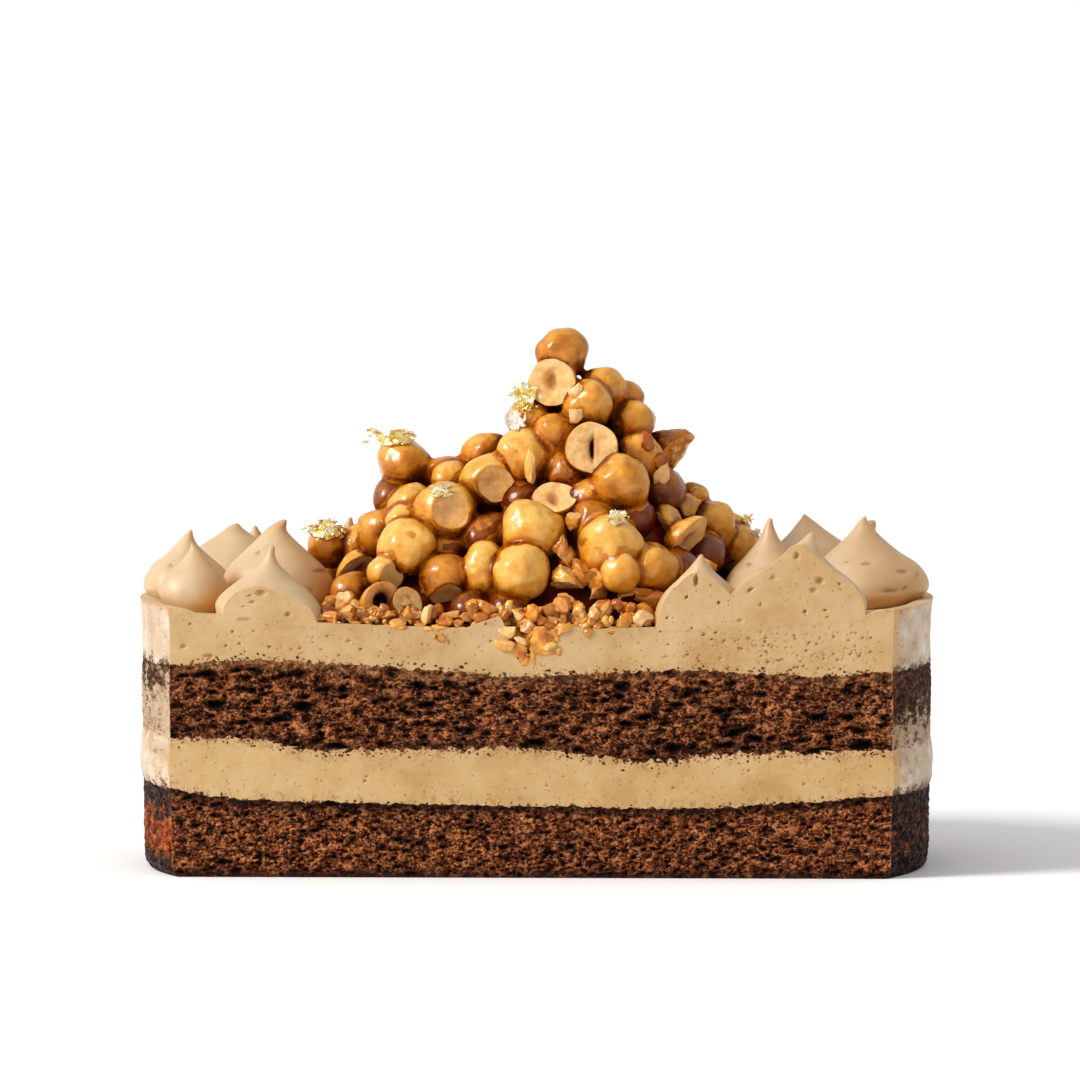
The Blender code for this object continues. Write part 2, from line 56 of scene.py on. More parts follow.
# Heights of the layer boundaries: (x along the cut, height)
LOWER_SPONGE_TOP = [(-92, 22.6), (-78, 20.4), (-50, 19.2), (0, 18.4), (40, 17.9), (67, 19.4), (90, 21.2)]
MIDDLE_MOUSSE_TOP = [(-92, 35.4), (-68, 35.2), (-58, 32.6), (-5, 33.1), (16, 31.0), (31, 29.4), (48, 31.6),
                     (90, 32.8)]
UPPER_SPONGE_TOP = [(-92, 53.8), (-76, 55.2), (-55, 55.0), (-28, 53.2), (-3, 51.3), (40, 53.0), (72, 51.4),
                    (92, 52.8)]
FLAT_HEIGHTS = {"lower_sponge": 19.0, "middle_mousse": 33.0, "upper_sponge": 53.0}

# The top of the cake
TOP_CENTRE_HEIGHT = 62.7
BOWL_RISE = 4.0
BOWL_RADIUS = 90.0
LIP_RISE = 2.0
LIP_FOOT_RADIUS = 92.5
LIP_CREST_RADIUS = 98.8
NOTCH_X = -2.0
NOTCH_LEFT = 6.2
NOTCH_RIGHT = 9.0
LIP_LEFT_RISE = 2.7
LIP_RIGHT_RISE = 0.9
LIP_REACH = (0.6, 3.2)  # behind the cut, how far the mousse beside the notch is pushed up
NOTCH_DEPTH = 9.5
NOTCH_REACH = 4.5

RAG_SIZES = (5.0, 1.7, 0.85)  # sizes of the waves along a torn layer boundary

# How the photograph sees the cake
PHOTO_SIZE = 1080
PHOTO_SCALE = 3.94
PHOTO_CENTRE_X = 536.5
PHOTO_BASE_Y = 878.5
VIEW_ELEVATION = math.radians(4.0)
VIEW_AZIMUTH = math.radians(1.9)
CAMERA_DISTANCE = 4000.0

# Piped kisses: name, x, y, radius, height, lean of the tip along x and y, fullness
SHOWN_KISSES = [
    ("kiss_left_front", -86.3, -22.5, 9.1, 17.2, -1.0, 0.0, 0.9),
    ("kiss_left_rim", -89.2, 3.0, 12.0, 18.8, 0.3, 0.0, 0.6),
    ("kiss_left_inner", -66.2, -8.0, 14.8, 24.0, 1.9, 0.0, 0.9),
    ("kiss_left_cut", -67.1, -35.2, 13.6, 18.6, 1.0, 0.5, 0.0),
    ("kiss_left_back", -78.4, 28.0, 14.2, 19.3, 0.0, 0.0, 1.5),
    ("kiss_left_far", -75.3, 50.0, 11.0, 16.6, 0.4, 0.0, 0.5),
    ("kiss_left_farthest", -51.3, 66.5, 13.0, 18.2, 0.6, 0.0, 0.3),
    ("kiss_right_cut_small", 43.2, -39.6, 12.3, 18.3, 0.0, 0.6, 0.7),
    ("kiss_right_cut_large", 67.8, -39.2, 17.6, 22.3, 3.6, 1.6, 0.35),
    ("kiss_right_inner", 59.8, -11.0, 14.0, 25.2, 0.4, 0.0, 0.3),
    ("kiss_right_back", 70.6, 20.0, 16.6, 23.3, -2.3, 0.0, 0.95),
    ("kiss_right_rim", 84.0, 2.0, 16.9, 23.2, 0.2, 0.0, 0.6),
    ("kiss_right_far", 83.7, 28.0, 11.6, 20.1, 2.0, 0.0, 0.5),
]
BACK_RINGS = [
    ("kiss_outer", 85.2, 39.0, 110.0, 5, 12.7, 18.4, 0.4),
    ("kiss_inner", 62.8, 41.0, 139.0, 5, 12.2, 18.6, 0.6),
]
HOLLOW_KISS = [(0.0, 0.86), (0.12, 1.0), (0.27, 0.92), (0.47, 0.64), (0.62, 0.36), (0.78, 0.14), (1.0, 0.0)]
FULL_KISS = [(0.0, 0.88), (0.15, 1.0), (0.33, 0.98), (0.50, 0.83), (0.65, 0.58), (0.82, 0.28), (1.0, 0.0)]

# The heap
RIDGE = [(-64, 3), (-54, 12), (-45, 15), (-40, 25), (-37, 35), (-30, 40), (-15, 43), (-4, 50), (2, 60),
         (7.5, 67.6), (14, 65), (24, 57), (30, 50), (36, 40), (43, 27), (52, 21), (62, 3)]
RIDGE_Y = 0.0
FRONT_REACH = 37.0
BACK_REACH = 44.0
CORE_DROP = 6.0
KISS_CLEARANCE = 1.2
GAP = 0.35

# Nuts that the photograph shows: name, pixel column and row, width in pixels, how far behind the heap's
# surface it lies, how dark it is (for the nuts in shadow partly painted shade), and unless it is whole its
# kind and the way that a cut face looks (right, up, towards the viewer)
SHOWN_NUTS = [
    ("peak", 564, 352, 50, 0.0, 0.62), ("peak_half", 552, 381, 50, -4.0, 0.35, "half", (-0.25, -0.05, 1.0)),
    ("peak_right", 603, 388, 46, 1.0, 0.45), ("high_right", 626, 399, 40, 6.0, 0.6),
    ("below_peak", 588, 404, 50, -1.0, 0.4), ("gold_side", 530, 421, 50, 1.0, 0.5),
    ("amber", 556, 434, 42, 1.0, 0.6), ("right_upper", 634, 421, 44, 1.0, 0.4),
    ("split_half", 592, 448, 54, -4.0, 0.3, "slit", (0.05, 0.05, 1.0)),
    ("right_middle", 638, 456, 50, 2.0, 0.4), ("right_shard", 672, 450, 58, 2.0, 0.8, "chunk"),
    ("round_front", 622, 482, 57, -4.0, 0.50), ("long_centre", 527, 455, 56, 0.0, 0.3),
    ("left_shaved", 491, 480, 57, -1.0, 0.3, "shaved", (0.2, -0.1, 1.0)),
    ("left_ridge", 482, 454, 44, 4.0, 0.4), ("left_slope", 450, 482, 44, 4.0, 0.4),
    ("big_half", 446, 512, 61, -3.0, 0.35, "shaved", (0.3, 0.1, 1.0)),
    ("gold_corner", 402, 463, 54, 4.0, 0.45), ("under_corner", 390, 497, 40, 3.0, 0.55),
    ("web", 447, 475, 40, 6.0, 0.6), ("left_small", 410, 505, 44, 1.0, 0.3),
    ("double_left", 405, 547, 58, -2.0, 0.25), ("gold_far", 325, 547, 44, 3.0, 0.5),
    ("left_behind", 360, 546, 42, 3.0, 0.4),
    ("pair_left", 358, 573, 46, -1.0, 0.3, "half", (0.4, -0.5, 0.8)),
    ("pair_right", 385, 573, 38, -2.0, 0.25, "shaved", (0.5, -0.2, 0.9)),
    ("hollow", 382, 606, 42, -1.5, 0.45, "hollow", (0.42, 0.0, 0.9)),
    ("pale_half", 406, 604, 34, 0.0, 0.2, "half", (0.5, 0.3, 0.8)),
    ("front_left", 344, 611, 34, 0.0, 0.35, "chunk"),
    ("shaded", 446, 582, 54, 2.0, 0.65, "shaved", (0.1, -0.7, 0.7)),
    ("front_centre", 532, 531, 60, -2.0, 0.25), ("front_round", 520, 572, 58, -3.0, 0.2),
    ("front_pair", 486, 573, 50, 0.5, 0.3), ("shadow_amber", 486, 541, 54, 5.0, 0.85),
    ("cup_half", 555, 499, 46, -1.0, 0.35, "half", (0.0, 0.8, 0.6)),
    ("middle_small", 588, 499, 40, 2.0, 0.45), ("middle_shadow", 566, 472, 42, 5.0, 0.7),
    ("brown", 595, 524, 50, 1.0, 0.75), ("cluster", 611, 546, 60, -3.0, 0.25),
    ("cluster_lobe", 620, 574, 40, -4.0, 0.3), ("front_right", 652, 569, 54, 0.0, 0.4),
    ("right_half", 687, 541, 46, -1.0, 0.3, "half", (0.7, -0.5, 0.5)),
    ("right_chip", 669, 519, 32, 0.0, 0.2, "chunk"), ("right_chip_high", 691, 502, 34, 1.0, 0.15, "chunk"),
    ("right_round", 713, 525, 50, 3.0, 0.42), ("right_low", 738, 548, 48, 12.0, 0.4),
    ("right_behind", 728, 531, 44, 12.0, 0.35), ("right_brown", 694, 500, 38, 8.0, 0.6),
    ("right_shadow", 662, 489, 50, 5.0, 0.85), ("low_right_chip", 703, 564, 28, 0.0, 0.3, "chunk"),
    ("chip_upper", 570, 559, 28, 1.0, 0.5, "chunk"), ("chip_middle", 569, 582, 36, 0.0, 0.35, "chunk"),
    ("chip_long", 596, 593, 34, 0.0, 0.35, "chunk"), ("chip_square", 563, 606, 25, 0.0, 0.3, "chunk"),
    ("chip_tall", 604, 607, 22, 0.0, 0.4, "chunk"), ("chip_right", 625, 620, 22, 0.0, 0.3, "chunk"),
    ("chip_end", 644, 617, 22, 0.0, 0.15, "chunk"), ("chip_flat", 652, 601, 30, 2.0, 0.4, "chunk"),
]
EXTRA_NUTS = [("double_top", 403, 522, 37, -1.0, 0.2)]
FIRST_NUT_SEED = 1000
FINE_RADIUS = 5.5  # shown nuts from this radius get the finest mesh
PLACE_ROUNDS = 12  # rounds in which a nut's place on the slope settles
FILL_SEED = 7
FILL_TRIES = 2600
FILL_X = (-60.0, 60.0)
FILL_Y = (-34.0, 42.0)
FILL_RADIUS = (6.0, 7.2)
FILL_SPACING = 0.86


# Small helpers

def smoothstep(low, high, value):
    share = np.clip((value - low) / (high - low), 0.0, 1.0)
    return share * share * (3.0 - 2.0 * share)


def soft_noise(x, y, z):
    return noise.noise(Vector((x, y, z)))


def along(points, x):
    """Height at x of a line through the points, level beyond its ends."""
    if x <= points[0][0]:
        return points[0][1]
    for (x0, z0), (x1, z1) in zip(points, points[1:]):
        if x <= x1:
            return z0 + (z1 - z0) * (x - x0) / (x1 - x0)
    return points[-1][1]


def soft_along(points, x):
    """The same through the points of a smooth curve."""
    xs, zs = zip(*points)
    last = len(xs) - 1
    if x <= xs[0]:
        return zs[0]
    if x > xs[last]:
        return zs[last]

    def slope(at):
        low, high = max(at - 1, 0), min(at + 1, last)
        return (zs[high] - zs[low]) / (xs[high] - xs[low])

    k = next(k for k in range(last) if x <= xs[k + 1])
    span = xs[k + 1] - xs[k]
    t = (x - xs[k]) / span
    return ((2 * t ** 3 - 3 * t ** 2 + 1) * zs[k] + (t ** 3 - 2 * t ** 2 + t) * span * slope(k)
            + (-2 * t ** 3 + 3 * t ** 2) * zs[k + 1] + (t ** 3 - t ** 2) * span * slope(k + 1))


def scrambled(cells, salt):
    """A fixed random whole number for each cell of a grid."""
    value = cells[..., 0] * 73856093 ^ cells[..., 1] * 19349663 ^ cells[..., 2] * 83492791 ^ (salt * 2654435)
    value = (value ^ (value >> 13)) * 1274126177 & 0xFFFFFFFF
    value = (value ^ (value >> 15)) * 2246822519 & 0xFFFFFFFF
    return value ^ (value >> 16)


def thirds(value):
    """Three shares from 0 to 1 out of each whole number."""
    return np.stack([value & 1023, (value >> 10) & 1023, (value >> 20) & 1023], axis=-1) / 1023.0


def noise_at(points, size, seed=0.0):
    """Smooth noise from about -1 to 1 at each point, with features of the given size."""
    place = np.asarray(points, dtype=float) / np.asarray(size, dtype=float) + seed * 1.37
    cell = np.floor(place).astype(np.int64)
    part = place - cell
    ease = part ** 3 * (part * (part * 6.0 - 15.0) + 10.0)
    total = np.zeros(len(place))
    for corner in ((0, 0, 0), (0, 0, 1), (0, 1, 0), (0, 1, 1), (1, 0, 0), (1, 0, 1), (1, 1, 0), (1, 1, 1)):
        slope = thirds(scrambled(cell + np.array(corner), 1)) * 2.0 - 1.0
        weight = np.prod(np.where(corner, ease, 1.0 - ease), axis=1)
        total += weight * np.sum(slope * (part - corner), axis=1)
    return total * 1.6


def grains_at(points, size, seed=0.0):
    """Distance to the nearest grain's centre, from 0 to about 1."""
    place = np.asarray(points, dtype=float) / size + seed * 1.37
    cell = np.floor(place).astype(np.int64)
    nearest = np.full(len(place), 9.0)
    for step in np.ndindex(3, 3, 3):
        here = cell + np.array(step) - 1
        apart = here + thirds(scrambled(here, 2)) - place
        nearest = np.minimum(nearest, np.sum(apart * apart, axis=1))
    return np.sqrt(nearest)


def new_piece(name, points, faces, materials, slots=None, fields=None, sharp=None):
    """A mesh object from points in millimetres, with its materials and per-point values."""
    mesh = bpy.data.meshes.new(name)
    mesh.from_pydata((np.asarray(points, dtype=float) * MM).tolist(), [], faces)
    for material in materials:
        mesh.materials.append(material)
    if slots is not None:
        mesh.polygons.foreach_set("material_index", np.asarray(slots, dtype=np.int32))
    for label, values in (fields or {}).items():
        layer = mesh.attributes.new(label, "FLOAT", "POINT")
        layer.data.foreach_set("value", np.asarray(values, dtype=np.float32))
    mesh.shade_smooth()
    if sharp:
        mesh.set_sharp_from_angle(angle=math.radians(sharp))
    piece = bpy.data.objects.new(name, mesh)
    bpy.context.scene.collection.objects.link(piece)
    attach(piece, "root")
    return piece


def joined(bodies):
    """The points and faces of several bodies in one."""
    starts = np.cumsum([0] + [len(body[0]) for body in bodies]).tolist()
    faces = [[k + start for k in face] for start, body in zip(starts, bodies) for face in body[1]]
    return np.concatenate([body[0] for body in bodies]), faces


def merged(name, members, materials, sharp=None):
    """One object of several bodies with their fields."""
    points, faces = joined(members)
    fields = {key: np.concatenate([member[2][key] for member in members]) for key in members[0][2]}
    return new_piece(name, points, faces, materials, fields=fields, sharp=sharp)


def used_only(faces):
    """The points that the faces use, and the faces in the numbers of those points."""
    used = sorted({k for face in faces for k in face})
    fresh = {old: new for new, old in enumerate(used)}
    return used, [[fresh[k] for k in face] for face in faces]


def ring_faces(rings, sides):
    """Faces between closed rings of points, one after the other."""
    faces = []
    for here in range(0, (rings - 1) * sides, sides):
        for side in range(sides):
            after = (side + 1) % sides
            faces.append((here + side, here + after, here + sides + after, here + sides + side))
    return faces


# Materials

def srgb(red, green, blue):
    """A colour as it is seen on a screen, 0 to 255, in linear light."""
    def linear(value):
        value /= 255.0
        return value / 12.92 if value <= 0.04045 else ((value + 0.055) / 1.055) ** 2.4
    return (linear(red), linear(green), linear(blue), 1.0)


class Value:
    """A number or colour that a node gives. Colours of ramps, mixes and paint are screen colours."""

    def __init__(self, graph, socket):
        self.graph = graph
        self.socket = socket

    def __add__(self, other):
        return self.graph.math("ADD", self, other)

    def __sub__(self, other):
        return self.graph.math("SUBTRACT", self, other)

    def __mul__(self, other):
        return self.graph.math("MULTIPLY", self, other)

    def ramp(self, *stops):
        """A number or a colour at each position."""
        node = self.graph.tree.nodes.new("ShaderNodeValToRGB")
        elements = node.color_ramp.elements
        while len(elements) < len(stops):
            elements.new(0.5)
        for element, (position, look) in zip(elements, stops):
            element.position = position
            element.color = srgb(*look) if isinstance(look, tuple) else (look, look, look, 1.0)
        self.graph.feed(node.inputs["Fac"], self)
        return Value(self.graph, node.outputs["Color"])

    def fade(self, low, high, first=0.0, last=1.0):
        """The first number up to the low value, the last one from the high value on."""
        return self.ramp((low, first), (high, last))


class Graph:
    """A material with short ways to add its nodes. Texture sizes are in millimetres."""

    def __init__(self, name, **sockets):
        self.material = bpy.data.materials.new(name)
        self.material.use_nodes = True
        self.tree = self.material.node_tree
        self.shader = self.tree.nodes["Principled BSDF"]
        self.place = Value(self, self.tree.nodes.new("ShaderNodeTexCoord").outputs["Object"])
        self.colour = None
        self.set(**sockets)

    def feed(self, socket, value):
        if isinstance(value, Value):
            self.tree.links.new(value.socket, socket)
        else:
            socket.default_value = value

    def set(self, **sockets):
        for key, value in sockets.items():
            self.feed(self.shader.inputs[key.replace("_", " ")], value)

    def add(self, kind, output, inputs, **settings):
        node = self.tree.nodes.new("ShaderNode" + kind)
        for key, value in settings.items():
            setattr(node, key, value)
        for key, value in inputs.items():
            self.feed(node.inputs[key], value)
        return Value(self, node.outputs[output])

    def stretched(self, size, stretch):
        scale = [1.0 / (MM * size * s) for s in stretch]
        return self.add("Mapping", "Vector", {"Vector": self.place, "Scale": scale})

    def noise(self, size, detail=3.0, rough=0.55, stretch=(1, 1, 1), warp=0.0):
        return self.add("TexNoise", "Fac", {"Vector": self.stretched(size, stretch), "Scale": 1.0,
                                            "Detail": detail, "Roughness": rough, "Distortion": warp})

    def cells(self, size, stretch=(1, 1, 1)):
        return self.add("TexVoronoi", "Distance", {"Vector": self.stretched(size, stretch), "Scale": 1.0})

    def field(self, name):
        return self.add("Attribute", "Fac", {}, attribute_name=name)

    def math(self, operation, first, second=0.0):
        return self.add("Math", 0, {0: first, 1: second}, operation=operation)

    def mix(self, share, first, second):
        first, second = (look if isinstance(look, Value) else srgb(*look) for look in (first, second))
        return self.add("Mix", 2, {0: share, 6: first, 7: second}, data_type="RGBA")

    def paint(self, share, look):
        """Covers a share of the colour so far with another."""
        self.colour = self.mix(share, self.colour, look)

    def soften(self, weight, radius, tint):
        """Light that enters the surface and comes out within a radius in millimetres."""
        self.set(Subsurface_Weight=weight, Subsurface_Radius=tint, Subsurface_Scale=radius * MM)

    def done(self, relief, distance, strength=1.0):
        """Adds the colour and a small relief, whose 0 to 1 stands for a distance in millimetres."""
        bump = self.add("Bump", "Normal", {"Distance": distance * MM, "Strength": strength, "Height": relief})
        self.set(Base_Color=self.colour, Normal=bump)
        return self.material


def make_cut_mousse(name, light, mid, dark, flecks):
    """Mousse where the knife went through: matte, with bubbles of every size, painted shade in the bubbles
    and pin holes, and fine coffee flecks.
    """
    g = Graph(name, Roughness=0.55, Specular_IOR_Level=0.30)
    g.colour = g.noise(15.0, 4.0, 0.6).ramp((0.32, dark), (0.52, mid), (0.70, light))
    g.paint(g.noise(5.0, 3.0, 0.6, (1.8, 1.8, 1.0)).fade(0.50, 0.74, 0.0, 0.45), light)
    # painted shade: the pin holes are darkened
    pin = g.cells(1.25).fade(0.10, 0.19, 1.0, 0.0) * g.noise(2.6, 0.0).fade(0.50, 0.60)
    g.paint(pin * 0.6, (160, 106, 56))
    fleck = g.cells(0.8).fade(0.14, 0.24, 1.0, 0.0) * g.noise(3.4, 1.0).fade(0.64 - flecks, 0.74 - flecks)
    g.paint(fleck * (g.field("crown") * (flecks * 6.0) + 0.35), (124, 74, 42))
    mottle = g.math("MAXIMUM", g.field("crown"), g.field("foot")) * g.noise(1.6, 4.0, 0.7).fade(0.52, 0.66)
    g.paint(mottle * (0.15 + flecks * 4.0), (142, 94, 58))
    # painted shade inside the bubbles
    g.paint(g.field("pit").ramp((0.08, 0.0), (0.5, 0.35), (1.0, 0.85)), (150, 84, 38))
    g.soften(0.3, 1.4, (1.0, 0.55, 0.28))
    return g.done(g.noise(1.3, 4.0, 0.6) * 0.6 - pin, 0.30, 0.8)


def make_piped_mousse():
    """Piped mousse: satin, with painted shade: amber where it is closed in by its neighbours, at its foot and
    on the side turned from the light, and darker in its pin holes and dents.
    """
    g = Graph("piped_mousse", Roughness=0.48, Specular_IOR_Level=0.78)
    g.colour = g.noise(13.0).ramp((0.3, (192, 162, 124)), (0.55, (201, 173, 137)), (0.75, (211, 186, 154)))
    # painted shade where the kiss is closed in by its neighbours
    g.paint(g.field("shade") * 0.80, (210, 148, 66))
    # painted shade at the kiss's foot
    g.paint(g.field("foot") * 0.60, (204, 148, 70))
    # painted shade on the side turned from the light
    g.paint(g.field("turned") * 0.34, (206, 150, 78))
    g.paint(g.field("crown") * 0.42, (186, 140, 92))
    # painted shade in the pin holes
    pin = g.cells(2.6).fade(0.04, 0.08, 1.0, 0.0) * g.noise(7.0, 0.0).fade(0.54, 0.6)
    g.paint(pin * 0.5, (150, 100, 56))
    # painted shade in the dents and cracks
    g.paint(g.field("pit").fade(0.12, 0.5, 0.0, 0.75), (132, 78, 38))
    g.soften(0.55, 2.2, (1.0, 0.64, 0.32))
    return g.done(g.noise(5.0, 2.0) * 0.8 - pin, 0.22, 0.5)


def make_wall_mousse(name, rim_share):
    """Mousse that the ring of the mould and the scraper smoothed, golden near the cut and along its rim."""
    g = Graph(name, Roughness=0.40, Specular_IOR_Level=0.4)
    foot = g.field("foot")
    g.colour = g.noise(7.0, 4.0, 0.55, (1.8, 1.8, 1.2)).ramp((0.32, (180, 150, 116)), (0.50, (200, 177, 150)),
                                                           (0.68, (216, 201, 182)))
    g.paint(g.noise(1.6, 4.0, 0.65, (3.0, 3.0, 1.6)).fade(0.50, 0.66, 0.0, 0.7), (182, 146, 108))
    worn = g.field("corner") * 0.5 + g.noise(2.0, 5.0, 0.7)
    g.paint(worn.fade(0.72, 0.90, 0.0, 0.75), (204, 158, 98))
    stain = g.noise(3.4, 5.0, 0.7, (2.6, 2.6, 1.0)) + foot * 0.10
    g.paint(stain.fade(0.58, 0.70, 0.0, 0.7), (140, 96, 66))
    near = g.noise(4.2, 2.0, 0.55, (2.0, 2.0, 1.0)) + foot * 0.25
    speck = g.cells(1.0, (2.4, 2.4, 1.0)).fade(0.16, 0.28, 1.0, 0.0) * near.fade(0.54, 0.68)
    g.paint(speck * 0.9, (100, 58, 36))
    torn = g.noise(1.5, 5.0, 0.75, (2.4, 2.4, 1.0)) + g.noise(6.0, 1.0) * 0.5 + foot * 0.24
    g.paint(torn.fade(0.96, 1.0), g.noise(0.9).ramp((0.4, (58, 28, 14)), (0.6, (124, 76, 46))))
    rim = g.field("crown").fade(0.90, 0.99, 0.0, rim_share) * g.noise(3.0).fade(0.36, 0.54, 0.2, 1.0)
    g.paint(rim, (196, 134, 66))
    g.soften(0.3, 1.8, (1.0, 0.55, 0.30))
    relief = g.noise(2.2, 4.0, 0.55, (2.4, 2.4, 1.0)) + g.noise(1.0, 5.0, 0.7, (1.0, 1.0, 3.0)) * 0.5
    return g.done(relief, 0.6, 0.8)


def paint_crumb(g, light, mid, dark, pore):
    """Sponge crumb: pale crumb tips, brown flanks, and painted shade: near-black pores of every size and
    darker deep pits; painted glints of highlight too. Gives the pores.
    """
    pit = g.field("pit")
    lump = g.noise(2.6, 5.0, 0.75, (1.3, 1.0, 0.85))
    grain = g.noise(0.62, 4.0, 0.80, (1.3, 1.0, 0.9))
    # painted shade: deeper pits a little darker
    g.colour = (lump * 0.40 + grain * 0.60 - pit * 0.12).ramp((0.40, dark), (0.47, mid), (0.545, light))
    # painted shade: near-black pores
    holes = g.noise(1.2, 4.0, 0.75, (1.35, 1.0, 0.85)).fade(0.36, 0.43, 1.0, 0.0)
    g.paint(holes * 0.85, pore)
    g.paint(g.noise(14.0, 2.0).fade(0.4, 0.7, 0.0, 0.35), dark)
    # painted shade: the deep pits near black
    g.paint(pit.fade(0.16, 0.62), pore)
    # painted highlight: small bright glints on the wet crumb
    painted_glint = g.cells(0.7).fade(0.12, 0.24, 1.0, 0.0) * g.noise(1.7, 1.0).fade(0.54, 0.60, 0.0, 0.75)
    g.paint(painted_glint, (232, 206, 182))
    return holes


def finish_crumb(g, holes):
    g.set(Roughness=g.noise(1.2, 2.0).fade(0.40, 0.52, 0.24, 0.85), Specular_IOR_Level=0.20)
    return g.done(g.noise(0.9, 4.0, 0.75) * 1.1 + g.cells(0.7) * 0.4 - holes * 0.9, 0.85)


def make_upper_crumb():
    """The upper sponge's cut, soaked and paler along its top."""
    g = Graph("upper_crumb")
    holes = paint_crumb(g, (211, 142, 93), (114, 56, 25), (46, 17, 6), (8, 3, 1))
    wet = g.field("crown").fade(0.15, 0.6) * g.noise(5.0).fade(0.34, 0.46, 0.0, 0.95)
    soaked = g.noise(1.0, 4.0, 0.75).ramp((0.36, (92, 54, 30)), (0.50, (164, 112, 70)),
                                          (0.66, (222, 176, 128)))
    g.paint(wet * (g.field("blush") * 1.3 + 0.42), soaked)
    g.paint(g.field("foot") * 0.5, (40, 19, 12))
    return finish_crumb(g, holes)


def make_lower_crumb():
    """The lower sponge's cut, darker along its edges."""
    g = Graph("lower_crumb")
    holes = paint_crumb(g, (222, 150, 98), (134, 67, 31), (56, 22, 9), (12, 5, 2))
    edge = g.math("MAXIMUM", g.field("crown"), g.field("foot"))
    g.paint(edge * g.noise(3.0).fade(0.30, 0.55, 0.5, 1.0),
            g.noise(1.1, 3.0, 0.7).ramp((0.38, (18, 9, 6)), (0.66, (78, 40, 27))))
    return finish_crumb(g, holes)


def make_crust():
    """The baked side of the lower sponge: near black above and below, red-brown between."""
    g = Graph("baked_crust", Specular_IOR_Level=0.12)
    tone = g.noise(1.5, 4.0, 0.75, (2.2, 2.2, 1.0))
    g.colour = tone.ramp((0.38, (20, 10, 7)), (0.52, (60, 38, 30)), (0.66, (120, 88, 72)))
    off_middle = g.math("ABSOLUTE", g.field("rise") - 0.5) * 2.0
    torn = g.noise(4.5, 5.0, 0.75, (2.0, 2.0, 1.0)) * 3.0 - 1.02
    bare = torn + g.field("blush") - off_middle * off_middle * 1.1
    g.paint(bare.fade(0.52, 0.80),
            tone.ramp((0.38, (70, 22, 8)), (0.52, (156, 70, 24)), (0.66, (214, 130, 62))))
    g.set(Roughness=g.noise(1.2).fade(0.4, 0.6, 0.36, 0.85))
    return g.done(g.noise(0.9, 4.0, 0.75, (2.0, 2.0, 1.0)) + g.cells(0.8), 0.9)


def make_smeared_wall():
    """The upper sponge's side: bare crumb near the top, and mousse dragged over it lower down."""
    g = Graph("smeared_sponge", Specular_IOR_Level=0.2)
    g.colour = g.noise(1.2, 5.0, 0.75, (2.2, 2.2, 1.0)).ramp((0.38, (26, 12, 6)), (0.52, (80, 46, 30)),
                                                           (0.66, (146, 100, 70)))
    cream = g.noise(8.0).ramp((0.3, (182, 146, 108)), (0.7, (206, 184, 156)))
    speck = g.noise(1.0, 4.0, 0.78, (2.4, 2.4, 1.0)).fade(0.50, 0.56)
    speck *= g.noise(5.0, 2.0).fade(0.40, 0.56, 0.15, 1.0)
    cover = g.noise(9.0, 2.0) * 0.9 + g.noise(2.4, 5.0, 0.75, (2.6, 2.6, 1.0)) * 1.9
    cover = (cover + g.field("blush") * 0.75 - g.field("rise") * 1.05 - 0.58).fade(0.30, 0.52)
    g.paint(cover, g.mix(speck, cream, (108, 62, 40)))
    g.set(Roughness=cover.fade(0.0, 1.0, 0.75, 0.36))
    return g.done(g.noise(0.9, 4.0, 0.75), 0.8, 0.9)


def make_loose_crumb():
    """Single crumbs of sponge in the mousse."""
    g = Graph("loose_crumb", Roughness=0.7, Specular_IOR_Level=0.3)
    g.colour = g.noise(1.6, 2.0).ramp((0.36, (70, 36, 18)), (0.50, (116, 68, 38)), (0.64, (160, 104, 66)))
    return g.done(g.noise(0.6, 2.0), 0.2, 0.8)


